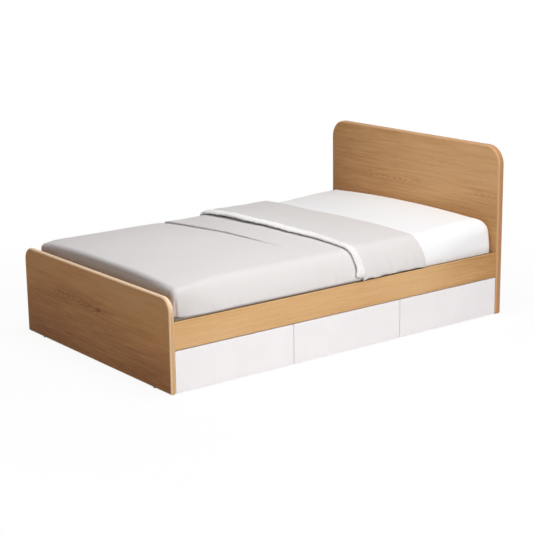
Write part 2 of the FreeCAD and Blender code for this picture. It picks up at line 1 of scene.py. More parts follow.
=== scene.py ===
"""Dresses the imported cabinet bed: the camera, a plain studio, every finish and the soft bedding.

Lengths are in metres, in the bed's own frame: +X is the way the drawers open, +Y runs to the headboard
and +Z is up, with the origin on the floor under the middle of the bed.
"""

import json
import logging
import math
from dataclasses import dataclass
from enum import Enum

import bpy
import numpy as np
from mathutils import Matrix, Vector

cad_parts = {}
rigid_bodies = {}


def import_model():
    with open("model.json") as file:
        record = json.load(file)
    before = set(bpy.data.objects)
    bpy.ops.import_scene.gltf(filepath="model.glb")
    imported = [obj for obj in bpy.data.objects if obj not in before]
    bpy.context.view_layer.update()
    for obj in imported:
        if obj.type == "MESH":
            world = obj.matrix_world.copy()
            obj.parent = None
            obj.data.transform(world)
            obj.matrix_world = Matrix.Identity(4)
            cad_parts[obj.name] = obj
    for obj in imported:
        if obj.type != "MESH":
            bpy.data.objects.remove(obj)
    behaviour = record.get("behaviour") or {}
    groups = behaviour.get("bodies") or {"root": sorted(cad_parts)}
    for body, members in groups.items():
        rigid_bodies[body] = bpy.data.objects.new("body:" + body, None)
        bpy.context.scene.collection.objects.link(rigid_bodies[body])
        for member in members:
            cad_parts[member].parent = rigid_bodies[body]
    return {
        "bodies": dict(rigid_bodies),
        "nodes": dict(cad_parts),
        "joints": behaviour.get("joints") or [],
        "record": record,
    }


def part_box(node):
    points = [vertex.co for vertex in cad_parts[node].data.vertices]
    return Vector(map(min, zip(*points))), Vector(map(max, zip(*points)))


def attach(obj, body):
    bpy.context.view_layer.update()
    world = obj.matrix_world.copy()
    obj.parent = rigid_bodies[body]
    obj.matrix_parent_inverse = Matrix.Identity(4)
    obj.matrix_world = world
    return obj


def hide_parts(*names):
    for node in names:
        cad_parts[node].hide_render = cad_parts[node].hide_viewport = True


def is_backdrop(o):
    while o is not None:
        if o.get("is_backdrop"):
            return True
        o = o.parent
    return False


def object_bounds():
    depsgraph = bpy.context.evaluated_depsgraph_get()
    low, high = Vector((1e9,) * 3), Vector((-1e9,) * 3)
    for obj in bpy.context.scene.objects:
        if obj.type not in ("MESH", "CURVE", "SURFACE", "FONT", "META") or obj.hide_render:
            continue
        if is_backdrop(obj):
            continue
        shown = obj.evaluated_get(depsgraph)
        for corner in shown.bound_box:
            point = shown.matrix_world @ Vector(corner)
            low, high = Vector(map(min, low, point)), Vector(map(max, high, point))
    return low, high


log = logging.getLogger("cabinet_bed")

Colour = tuple[float, float, float, float]
Triple = tuple[float, float, float]
# A range is where a change starts and where it is whole, and a bell is its middle and its spread.
Range = tuple[float, float]
Bell = tuple[float, float]
Box = tuple[Vector, Vector]
Socket = bpy.types.NodeSocket

RIGHT_ANGLE = math.pi / 2
TINY = 1e-12
MERGE = 1e-5
# Where a colour mix node keeps its share, its two colours and its result.
MIX_INPUTS = (0, 6, 7)
MIX_RESULT = 2


class GrainAxis(Enum):
    """The way that a board's grain runs."""

    ACROSS_BED = "across"
    ALONG_BED = "along"


def tone(red: int, green: int, blue: int) -> Colour:
    """Turns a screen colour into the linear colour that shaders use.

    Args:
        red: Red, from 0 to 255.
        green: Green, from 0 to 255.
        blue: Blue, from 0 to 255.

    Returns:
        The linear colour with full opacity.
    """
    toe, toe_slope, shift, power = 0.04045, 12.92, 0.055, 2.4
    parts = []
    for part in (red, green, blue):
        share = part / 255
        parts.append(share / toe_slope if share <= toe else ((share + shift) / (1 + shift)) ** power)
    return parts[0], parts[1], parts[2], 1.0


def smooth_step(low: float, high: float, value: np.ndarray) -> np.ndarray:
    """Eases from 0 at low to 1 at high.

    Args:
        low: Where the step starts.
        high: Where the step ends, which may lie below low.
        value: The places to work it out for.

    Returns:
        The eased share at each place.
    """
    share = np.clip((value - low) / (high - low), 0, 1)
    return share * share * (3 - 2 * share)


def hump(middle: float, spread: float, value: np.ndarray) -> np.ndarray:
    """A soft bell of height 1 round a middle.

    Args:
        middle: Where the bell is highest.
        spread: How far it reaches to each side.
        value: The places to work it out for.

    Returns:
        The bell's height at each place.
    """
    return np.exp(-((value - middle) / spread) ** 2)


def even_line(knots: tuple[float, ...], heights: tuple[float, ...], places: np.ndarray) -> np.ndarray:
    """A smooth line through a few chosen points.

    Args:
        knots: Where the points lie.
        heights: The line's value at each point.
        places: Where the line is wanted.

    Returns:
        The line's value at each place, held level outside the points.
    """
    spots, levels = np.array(knots), np.array(heights)
    slopes = np.gradient(levels, spots)
    places = np.clip(places, spots[0], spots[-1])
    cell = np.clip(np.searchsorted(spots, places) - 1, 0, len(spots) - 2)
    width = spots[cell + 1] - spots[cell]
    share = (places - spots[cell]) / width
    rest = 1 - share
    start = rest ** 2 * ((1 + 2 * share) * levels[cell] + share * width * slopes[cell])
    end = share ** 2 * ((3 - 2 * share) * levels[cell + 1] - rest * width * slopes[cell + 1])
    return start + end


class Graph:
    """A material's node tree, with short calls for the nodes that the finishes need."""

    def __init__(self, name: str) -> None:
        """Starts a material with a plain surface shader.

        Args:
            name: The material's name.
        """
        self.material = bpy.data.materials.new(name)
        self.material.use_nodes = True
        self.tree = self.material.node_tree
        self.surface = self.tree.nodes["Principled BSDF"]

    def node(self, kind: str, **settings: object) -> bpy.types.Node:
        """Adds a node.

        Args:
            kind: The node's type name.
            settings: Properties to set on it.

        Returns:
            The new node.
        """
        made = self.tree.nodes.new(kind)
        for name, value in settings.items():
            setattr(made, name, value)
        return made

    def feed(self, socket: Socket, value: object) -> None:
        """Links a socket to another, or sets its constant.

        Args:
            socket: The input to fill.
            value: An output socket or a constant.
        """
        if isinstance(value, Socket):
            self.tree.links.new(value, socket)
        else:
            socket.default_value = value

    def feed_all(self, made: bpy.types.Node, values: tuple) -> Socket:
        """Feeds a node's inputs in their order.

        Args:
            made: The node.
            values: Sockets or constants.

        Returns:
            The node's first output.
        """
        for socket, value in zip(made.inputs, values):
            self.feed(socket, value)
        return made.outputs[0]

    def maths(self, operation: str, *values: object) -> Socket:
        """Works out a number from one to three others.

        Args:
            operation: The operation's name.
            values: Sockets or constants.

        Returns:
            The result's socket.
        """
        return self.feed_all(self.node("ShaderNodeMath", operation=operation), values)

    def chain(self, operation: str, *values: object) -> Socket:
        """Works through several values with one operation, in order.

        Args:
            operation: The operation's name.
            values: Sockets or constants.

        Returns:
            The result's socket.
        """
        result = values[0]
        for value in values[1:]:
            result = self.maths(operation, result, value)
        return result

    def total(self, *values: object) -> Socket:
        """Adds up several sockets or constants."""
        return self.chain("ADD", *values)

    def product(self, *values: object) -> Socket:
        """Multiplies several sockets or constants."""
        return self.chain("MULTIPLY", *values)

    def length(self, *parts: Socket) -> Socket:
        """The straight distance that parts at right angles make up."""
        return self.maths("SQRT", self.total(*[self.product(part, part) for part in parts]))

    def around_zero(self, value: Socket, height: float) -> Socket:
        """Turns a value round one half into a swing round zero.

        Args:
            value: A socket that swings between 0 and 1.
            height: The full swing that is wanted.

        Returns:
            The socket of the swing.
        """
        return self.product(self.maths("SUBTRACT", value, 0.5), height)

    def vector(self, *parts: object) -> Socket:
        """Combines three sockets or constants into a vector."""
        return self.feed_all(self.node("ShaderNodeCombineXYZ"), parts)

    def place(self, kind: str = "Object") -> list[Socket]:
        """The three parts of a texture coordinate.

        Args:
            kind: The coordinate's name, by default the place in the object's own frame.

        Returns:
            The sockets of the parts.
        """
        made = self.node("ShaderNodeSeparateXYZ")
        self.feed(made.inputs[0], self.node("ShaderNodeTexCoord").outputs[kind])
        return list(made.outputs)

    def noise(self, parts: list[Socket], sizes: Triple, detail: float = 2.0, rough: float = 0.5) -> Socket:
        """Soft noise whose clouds have a size of their own each way.

        Args:
            parts: The three parts of the place.
            sizes: The clouds' size along each of them, in metres.
            detail: How many finer layers it has.
            rough: How strong the finer layers are.

        Returns:
            The socket of a value between 0 and 1.
        """
        place = self.vector(*[self.maths("DIVIDE", part, size) for part, size in zip(parts, sizes)])
        made = self.node("ShaderNodeTexNoise")
        self.fill(made, Vector=place, Scale=1.0, Detail=detail, Roughness=rough)
        return made.outputs["Fac"]

    def eased(self, value: object, low: float, high: float, from_low: float = 0.0,
              to_high: float = 1.0) -> Socket:
        """Eases a value from one range to another.

        Args:
            value: The socket to read.
            low: The value that gives the result's start.
            high: The value that gives the result's end.
            from_low: The result's start.
            to_high: The result's end.

        Returns:
            The eased socket.
        """
        made = self.node("ShaderNodeMapRange", interpolation_type="SMOOTHSTEP")
        return self.feed_all(made, (value, low, high, from_low, to_high))

    def ramp(self, value: Socket, stops: tuple[tuple[float, Colour], ...]) -> Socket:
        """Colours a value by a few stops.

        Args:
            value: The socket to read.
            stops: Pairs of a place from 0 to 1 and a colour.

        Returns:
            The colour's socket.
        """
        made = self.node("ShaderNodeValToRGB")
        elements = made.color_ramp.elements
        while len(elements) < len(stops):
            elements.new(0.5)
        for element, (where, colour) in zip(elements, stops):
            element.position = where
            element.color = colour
        self.feed(made.inputs[0], value)
        return made.outputs[0]

    def blend(self, share: object, first: object, second: object) -> Socket:
        """Mixes two colours.

        Args:
            share: How much of the second there is.
            first: The first colour or its socket.
            second: The second colour or its socket.

        Returns:
            The mixed colour's socket.
        """
        made = self.node("ShaderNodeMix", data_type="RGBA")
        for place, value in zip(MIX_INPUTS, (share, first, second)):
            self.feed(made.inputs[place], value)
        return made.outputs[MIX_RESULT]

    def relief(self, height: Socket, depth: float, strength: float) -> None:
        """Gives the surface a fine relief.

        Args:
            height: The relief's height, about from 0 to 1.
            depth: The depth of that relief in metres.
            strength: How much of it shows.
        """
        made = self.node("ShaderNodeBump")
        self.fill(made, Strength=strength, Distance=depth, Height=height)
        self.set(Normal=made.outputs[0])

    def fill(self, made: bpy.types.Node, **sockets: object) -> None:
        """Fills a node's inputs, each named with underscores for its spaces.

        Args:
            made: The node.
            sockets: Output sockets or constants, by the input's name.
        """
        for name, value in sockets.items():
            self.feed(made.inputs[name.replace("_", " ")], value)

    def set(self, **sockets: object) -> None:
        """Fills the surface shader's inputs."""
        self.fill(self.surface, **sockets)


@dataclass(frozen=True)
class Finish:
    """A named finish, whose nodes each kind of finish adds in its own way."""

    name: str

    def material(self) -> bpy.types.Material:
        """Builds the finish.

        Returns:
            The material.
        """
        graph = Graph(self.name)
        self.paint(graph)
        return graph.material

    def paint(self, graph: Graph) -> None:
        """Adds the finish's nodes to a graph."""
        raise NotImplementedError


@dataclass(frozen=True)
class Arches:
    """Uneven pointed arches of late wood, one behind the other, over a stretch of a board's face."""

    heart: float
    first: float
    last: float
    strength: float
    reach: float = 0.056
    full_reach: float = 0.006
    step: float = 0.046
    tip: float = 0.003
    slope: float = 3.4
    bend: float = 45.0
    depth: float = 0.52
    fade: float = 0.08
    swing: float = 0.05
    wander_size: Triple = (0.45, 0.4, 0.4)
    waver_size: Triple = (0.11, 0.018, 0.018)
    patch_size: Triple = (0.1, 0.014, 0.014)
    patch_range: Range = (0.36, 0.6)
    late_power: float = 2.6
    late_end: float = 0.9

    def shade(self, graph: Graph, spot: list[Socket]) -> Socket:
        """Draws the arches.

        Args:
            graph: The material's graph.
            spot: The place along the grain, up the face and into the board.

        Returns:
            The socket of the lightness that the arches take away, below zero.
        """
        along, height, _ = spot
        wander = graph.noise(spot, self.wander_size, detail=1)
        waver = graph.noise(spot, self.waver_size, detail=3, rough=0.6)
        patch = graph.noise(spot, self.patch_size)
        off_heart = graph.total(height, -self.heart, graph.around_zero(wander, self.swing))
        squared = graph.product(off_heart, off_heart)
        beside = graph.maths("SQRT", graph.total(squared, self.tip ** 2))
        lag = graph.total(graph.product(beside, self.slope), graph.product(squared, self.bend))
        reached = graph.total(along, lag, graph.around_zero(waver, self.swing))
        ring = graph.maths("FRACT", graph.maths("DIVIDE", reached, self.step))
        return graph.product(
            graph.maths("POWER", ring, self.late_power),
            graph.eased(ring, 1.0, self.late_end),
            graph.eased(beside, self.reach, self.full_reach),
            graph.eased(patch, *self.patch_range),
            graph.eased(along, self.first - self.fade, self.first + self.fade),
            graph.eased(along, self.last + self.fade, self.last - self.fade),
            -self.depth * self.strength,
        )


@dataclass(frozen=True)
class Knot:
    """A small dark pin knot, drawn out along the grain."""

    along: float
    height: float
    stretch: float = 2.4
    inner: float = 0.002
    outer: float = 0.01
    depth: float = 0.9

    def shade(self, graph: Graph, spot: list[Socket]) -> Socket:
        """Draws the knot.

        Args:
            graph: The material's graph.
            spot: The place along the grain, up the face and into the board.

        Returns:
            The socket of the lightness that the knot takes away, below zero.
        """
        off_along = graph.maths("DIVIDE", graph.total(spot[0], -self.along), self.stretch)
        away = graph.length(off_along, graph.total(spot[1], -self.height))
        return graph.eased(away, self.inner, self.outer, -self.depth, 0.0)


@dataclass(frozen=True)
class Timber(Finish):
    """A wood finish with streaks, fine fibres, pores and figures along one axis.

    A shade is painted shade, darker along the grain or towards the bottom, and painted light where its depth
    is below zero; it holds the place where it starts, the place where it is full and the lightness that it
    takes away. The upper edge's colour is a painted highlight on one board and a painted shadow on another.
    """

    grain: GrainAxis
    deep: Colour
    middle: Colour
    pale: Colour
    edge: Colour
    arris: Colour
    figures: tuple[Arches | Knot, ...] = ()
    shade: Triple = (0.0, 1.0, 0.0)
    low_shade: Triple = (0.0, 1.0, 0.0)
    upper_highlight_and_shadow: Colour | None = None
    upper_highlight_and_shadow_heights: Range = (0.33, 0.41)
    face_axis: int = 1
    arris_facing: Range = (0.985, 0.87)
    edge_facing: Range = (0.5, 0.1)
    lightness: float = 0.52
    stops: Triple = (0.12, 0.5, 0.86)
    broad_size: Triple = (0.9, 0.16, 0.16)
    broad_swing: float = 0.4
    streak_size: Triple = (0.3, 0.011, 0.011)
    streak_swing: float = 0.44
    fibre_size: Triple = (0.09, 0.0022, 0.0022)
    fibre_swing: float = 0.38
    edge_swing: float = 0.9
    pore_size: Triple = (0.022, 0.0012, 0.0012)
    pore_range: Range = (0.6, 0.72)
    pore_dark: float = 0.2
    pore_sunk: float = 0.8
    relief_depth: float = 0.00035
    relief_strength: float = 0.5
    gloss_range: Range = (0.2, 0.9)
    roughness: Range = (0.54, 0.41)
    specular: float = 0.18

    def paint(self, graph: Graph) -> None:
        """Adds the wood's nodes.

        Args:
            graph: The material's graph.
        """
        x, y, z = graph.place()
        along, depth = (x, y) if self.grain is GrainAxis.ACROSS_BED else (y, x)
        spot = [along, z, depth]
        broad = graph.noise(spot, self.broad_size)
        streak = graph.noise(spot, self.streak_size, detail=4, rough=0.6)
        fibre = graph.noise(spot, self.fibre_size, detail=3, rough=0.6)
        pores = graph.eased(graph.noise(spot, self.pore_size), *self.pore_range)
        lightness = graph.total(
            self.lightness,
            graph.around_zero(broad, self.broad_swing),
            graph.around_zero(streak, self.streak_swing),
            graph.around_zero(fibre, self.fibre_swing),
            graph.product(pores, -self.pore_dark),
            # Painted shade along the grain and towards the bottom, and painted light where a depth is below
            # zero.
            graph.eased(along, self.shade[0], self.shade[1], 0.0, -self.shade[2]),
            graph.eased(z, self.low_shade[0], self.low_shade[1], 0.0, -self.low_shade[2]),
            *[figure.shade(graph, spot) for figure in self.figures],
        )
        colour = graph.ramp(lightness, tuple(zip(self.stops, (self.deep, self.middle, self.pale))))
        edge = self.edge
        # Painted highlight or painted shadow on a board's top edge, blended in by height.
        if self.upper_highlight_and_shadow is not None:
            edge = graph.blend(graph.eased(z, *self.upper_highlight_and_shadow_heights), self.edge, self.upper_highlight_and_shadow)
        end_fibre = graph.around_zero(fibre, self.edge_swing)
        for share, plain in zip(self.edge_shares(graph), (self.arris, edge)):
            colour = graph.blend(share, colour, graph.blend(end_fibre, plain, self.middle))
        graph.set(Base_Color=colour, Specular_IOR_Level=self.specular,
                  Roughness=graph.eased(lightness, *self.gloss_range, *self.roughness))
        sunk = graph.product(pores, -self.pore_sunk)
        graph.relief(graph.total(fibre, sunk), self.relief_depth, self.relief_strength)

    def edge_shares(self, graph: Graph) -> tuple[Socket, Socket]:
        """Where a board's rounded arris turns away from its face, and where its flat edge begins.

        Args:
            graph: The material's graph.

        Returns:
            The sockets of both shares, from 0 to 1.
        """
        facing = graph.maths("ABSOLUTE", graph.place("Normal")[self.face_axis])
        return graph.eased(facing, *self.arris_facing), graph.eased(facing, *self.edge_facing)


@dataclass(frozen=True)
class Coated(Finish):
    """A smooth coated or moulded finish: lacquer, melamine or plastic, with a faint relief and mottling."""

    light: Colour
    dark: Colour
    roughness: float
    roughness_swing: float = 0.05
    gloss_range: Range = (0.25, 0.75)
    mottle: float = 0.05
    mottle_range: Range = (0.3, 0.7)
    grain: float = 0.0012
    grain_depth: float = 0.00004
    grain_strength: float = 0.6
    specular: float = 0.4

    def paint(self, graph: Graph) -> None:
        """Adds the coating's nodes.

        Args:
            graph: The material's graph.
        """
        spot = graph.place()
        cloud = graph.noise(spot, (self.mottle,) * 3, detail=4, rough=0.6)
        speck = graph.noise(spot, (self.grain,) * 3)
        glossy, matt = self.roughness - self.roughness_swing, self.roughness + self.roughness_swing
        graph.set(Base_Color=graph.blend(graph.eased(cloud, *self.mottle_range), self.light, self.dark),
                  Roughness=graph.eased(cloud, *self.gloss_range, glossy, matt),
                  Specular_IOR_Level=self.specular)
        graph.relief(speck, self.grain_depth, self.grain_strength)


@dataclass(frozen=True)
class Steel(Finish):
    """Zinc-plated sheet, drawn along the way the drawers run, with a faint spangle."""

    light: Colour
    dark: Colour
    roughness: Range = (0.44, 0.3)
    gloss_range: Range = (0.3, 0.7)
    drawn_size: Triple = (0.12, 0.0008, 0.0008)
    drawn_share: float = 0.6
    drawn_depth: float = 0.00005
    drawn_strength: float = 0.4
    spangle: float = 0.012

    def paint(self, graph: Graph) -> None:
        """Adds the metal's nodes.

        Args:
            graph: The material's graph.
        """
        spot = graph.place()
        drawn = graph.noise(spot, self.drawn_size, detail=3, rough=0.6)
        spangle = graph.noise(spot, (self.spangle,) * 3, detail=1)
        streaks = graph.product(drawn, self.drawn_share)
        share = graph.total(streaks, graph.product(spangle, 1 - self.drawn_share))
        graph.set(Base_Color=graph.blend(share, self.dark, self.light), Metallic=1.0,
                  Roughness=graph.eased(share, *self.gloss_range, *self.roughness))
        graph.relief(drawn, self.drawn_depth, self.drawn_strength)


@dataclass(frozen=True)
class Cloth(Finish):
    """A woven fabric on a piece's own UV map, with melange threads, a weave relief and a soft sheen."""

    light: Colour
    dark: Colour
    flat: tuple[float, float]
    thread: float = 0.0011
    yarn: float = 0.0016
    yarn_run: float = 0.12
    yarn_swing: float = 0.7
    dark_share: float = 0.5
    cloud_size: Triple = (0.14, 0.2, 1.0)
    cloud_swing: float = 0.5
    nap: float = 0.0016
    weave_share: float = 0.5
    relief_depth: float = 0.0004
    relief_strength: float = 0.35
    gloss_range: Range = (0.2, 0.8)
    roughness: Range = (0.86, 0.94)
    specular: float = 0.2
    sheen: float = 0.2
    sheen_roughness: float = 0.5

    def paint(self, graph: Graph) -> None:
        """Adds the fabric's nodes.

        Args:
            graph: The material's graph.
        """
        left_share, foot_share, flat_height = graph.place("UV")
        across = graph.product(left_share, self.flat[0])
        along = graph.product(foot_share, self.flat[1])
        spot = [across, along, flat_height]
        warp = graph.noise(spot, (self.yarn, self.yarn_run, 1.0))
        weft = graph.noise(spot, (self.yarn_run, self.yarn, 1.0))
        cloud = graph.noise(spot, self.cloud_size, detail=3)
        fuzz = graph.noise(spot, (self.nap, self.nap, 1.0))
        yarns = [graph.around_zero(yarn, self.yarn_swing) for yarn in (warp, weft)]
        share = graph.total(self.dark_share, *yarns, graph.around_zero(cloud, self.cloud_swing))
        turn = 2 * math.pi / self.thread
        threads = [graph.maths("SINE", graph.product(place, turn)) for place in (across, along)]
        weave = graph.product(*threads, self.weave_share)
        graph.set(Base_Color=graph.blend(share, self.light, self.dark),
                  Roughness=graph.eased(share, *self.gloss_range, *self.roughness),
                  Specular_IOR_Level=self.specular, Sheen_Weight=self.sheen,
                  Sheen_Roughness=self.sheen_roughness)
        graph.relief(graph.total(weave, fuzz), self.relief_depth, self.relief_strength)


@dataclass(frozen=True)
class Pile(Finish):
    """A plush finish with a short curled pile, in painted shade on its right end and painted light on its
    left end.
    """

    light: Colour
    dark: Colour
    shaded_right_light: Colour
    shaded_right_dark: Colour
    shade_to_light: Range = (0.6, 0.0)
    curl: float = 0.006
    curl_range: Range = (0.62, 0.34)
    curl_depth: float = 0.0014
    curl_strength: float = 0.5
    hair: float = 0.0012
    hair_range: Range = (0.3, 0.7)
    hair_share: float = 0.4
    roughness: Range = (0.88, 0.96)
    specular: float = 0.15
    sheen: float = 0.15
    sheen_roughness: float = 0.6

    def paint(self, graph: Graph) -> None:
        """Adds the pile's nodes.

        Args:
            graph: The material's graph.
        """
        spot = graph.place()
        curls = graph.noise(spot, (self.curl,) * 3, detail=3, rough=0.6)
        hairs = graph.noise(spot, (self.hair,) * 3)
        # Painted shade on the right end, where the lamp falls full on the hem's side, and painted light on
        # the left end.
        painted_light_share = graph.eased(spot[0], *self.shade_to_light)
        light = graph.blend(painted_light_share, self.shaded_right_light, self.light)
        dark = graph.blend(painted_light_share, self.shaded_right_dark, self.dark)
        graph.set(Base_Color=graph.blend(graph.eased(curls, *self.curl_range), light, dark),
                  Roughness=graph.eased(hairs, *self.hair_range, *self.roughness),
                  Specular_IOR_Level=self.specular, Sheen_Weight=self.sheen,
                  Sheen_Roughness=self.sheen_roughness)
        height = graph.total(curls, graph.product(hairs, self.hair_share))
        graph.relief(height, self.curl_depth, self.curl_strength)


@dataclass(frozen=True)
class PhotoCamera:
    """The camera at the photograph's place, angle and framing."""

    azimuth: float = 0.94379
    elevation: float = 0.25065
    roll: float = -0.01919
    distance: float = 6.9512
    target: Triple = (0.0, -0.18205, 0.28710)
    focal_pixels: float = 1441.5
    axis_pixel: tuple[float, float] = (235.14, 272.01)
    image_pixels: float = 533.0
    sensor_mm: float = 36.0
    sight: float = 200.0

    def build(self) -> bpy.types.Object:
        """Adds the camera and makes it the scene's own.

        Returns:
            The camera.
        """
        flat = math.cos(self.elevation)
        sideways, endways = math.sin(self.azimuth) * flat, -math.cos(self.azimuth) * flat
        back = Vector((sideways, endways, math.sin(self.elevation)))
        right = Vector((0, 0, 1)).cross(back).normalized()
        turn = Matrix.Rotation(self.roll, 3, back)
        columns = (turn @ right, turn @ back.cross(right), back)
        bpy.ops.object.camera_add()
        camera = bpy.context.object
        camera.name = "photo_camera"
        place = Matrix.Translation(Vector(self.target) + back * self.distance)
        camera.matrix_world = place @ Matrix(columns).transposed().to_4x4()
        camera.data.sensor_width = self.sensor_mm
        camera.data.lens = self.focal_pixels / self.image_pixels * self.sensor_mm
        camera.data.shift_x = 0.5 - self.axis_pixel[0] / self.image_pixels
        camera.data.shift_y = self.axis_pixel[1] / self.image_pixels - 0.5
        camera.data.clip_end = self.sight
        bpy.context.scene.camera = camera
        return camera


@dataclass(frozen=True)
class Lamp:
    """A soft square lamp that faces a point."""

    name: str
    place: Triple
    faces: Triple
    side: float
    power: float

    def build(self) -> bpy.types.Object:
        """Adds the lamp.

        Returns:
            The lamp.
        """
        bpy.ops.object.light_add(type="AREA", location=self.place)
        lamp = bpy.context.object
        lamp.name = self.name
        lamp.data.size = self.side
        lamp.data.energy = self.power
        aim = Vector(self.faces) - Vector(self.place)
        lamp.rotation_euler = aim.to_track_quat("-Z", "Y").to_euler()
        return lamp


@dataclass(frozen=True)
class Studio:
    """A pale floor under plain soft light, with a background that the camera sees as white."""

    lamps: tuple[Lamp, ...] = (
        Lamp("key_lamp", (5.2, -0.75, 2.1), (0.0, 0.0, 0.3), 2.4, 141.0),
        Lamp("top_lamp", (0.7, -0.15, 3.3), (0.0, -0.05, 0.3), 1.9, 67.0),
        Lamp("back_lamp", (-3.4, 4.2, 0.5), (-0.3, 0.6, 0.35), 0.9, 60.0),
    )
    sky: float = 0.165
    floor_side: float = 160.0
    floor_bounce: Colour = tone(208, 205, 202)
    floor_seen: Colour = tone(255, 255, 255)
    near_floor: float = 1.0
    far_floor: float = 2.6
    shadow_share: float = 0.07
    shade_edge: float = 0.02

    def build(self, bed_box: Box) -> None:
        """Adds the lamps, the world and the floor.

        Args:
            bed_box: The bed's lowest and highest corners.
        """
        for lamp in self.lamps:
            lamp.build()
        self.light_world()
        self.lay_floor(bed_box)

    def seen_directly(self, graph_tree: bpy.types.NodeTree) -> Socket:
        """A share that is 1 for the camera and for what mirrors and glass show of the background.

        Args:
            graph_tree: The node tree to add it to.

        Returns:
            The share's socket.
        """
        path = graph_tree.nodes.new("ShaderNodeLightPath")
        share = path.outputs["Is Camera Ray"]
        for name in ("Is Glossy Ray", "Is Transmission Ray"):
            either = graph_tree.nodes.new("ShaderNodeMath")
            either.operation = "MAXIMUM"
            graph_tree.links.new(share, either.inputs[0])
            graph_tree.links.new(path.outputs[name], either.inputs[1])
            share = either.outputs[0]
        return share

    def light_world(self) -> None:
        """Fills the scene with weak even light, and shows white where nothing stands."""
        world = bpy.data.worlds.new("studio_world")
        bpy.context.scene.world = world
        world.use_nodes = True
        tree = world.node_tree
        fill = tree.nodes["Background"]
        fill.inputs["Color"].default_value = tone(255, 255, 255)
        strength = tree.nodes.new("ShaderNodeMapRange")
        strength.inputs["To Min"].default_value = self.sky
        strength.inputs["To Max"].default_value = 1.0
        tree.links.new(self.seen_directly(tree), strength.inputs["Value"])
        tree.links.new(strength.outputs[0], fill.inputs["Strength"])

    def lay_floor(self, bed_box: Box) -> bpy.types.Object:
        """Lays a large floor that is white to the camera and keeps the shadow under the bed and close to it.

        Args:
            bed_box: The bed's lowest and highest corners.

        Returns:
            The floor.
        """
        bpy.ops.object.select_all(action="DESELECT")
        bpy.ops.mesh.primitive_plane_add(size=self.floor_side)
        floor = bpy.context.object
        floor.name = "studio_floor"
        graph = Graph("studio_floor")
        x, y, _ = graph.place()
        by_bed = 1.0 - self.shadow_share
        white_share = graph.eased(graph.length(x, y), self.near_floor, self.far_floor, by_bed, 1.0)
        outside = 0.0
        for place, edge in zip((x, y), bed_box[1]):
            off_middle = graph.maths("ABSOLUTE", place)
            beyond = graph.eased(off_middle, edge - 2 * self.shade_edge, edge - self.shade_edge)
            outside = graph.maths("MAXIMUM", outside, beyond)
        shown = graph.product(self.seen_directly(graph.tree), white_share, outside)
        lit = graph.node("ShaderNodeBsdfDiffuse")
        path = graph.node("ShaderNodeLightPath")
        graph.feed(lit.inputs["Color"], graph.blend(path.outputs["Is Camera Ray"], self.floor_bounce,
                                                    self.floor_seen))
        bright = graph.node("ShaderNodeEmission")
        graph.feed(bright.inputs["Color"], self.floor_seen)
        both = graph.node("ShaderNodeMixShader")
        graph.feed_all(both, (shown, lit.outputs[0], bright.outputs[0]))
        output = graph.tree.nodes["Material Output"]
        graph.feed(output.inputs["Surface"], both.outputs[0])
        graph.tree.nodes.remove(graph.surface)
        floor.data.materials.append(graph.material)
        floor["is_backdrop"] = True
        return floor


def dress(node: bpy.types.Object, material: bpy.types.Material) -> None:
    """Puts a finish on a solid of the frame.

    Args:
        node: The solid's object.
        material: The finish.
    """
    for slot in node.material_slots:
        slot.material = material


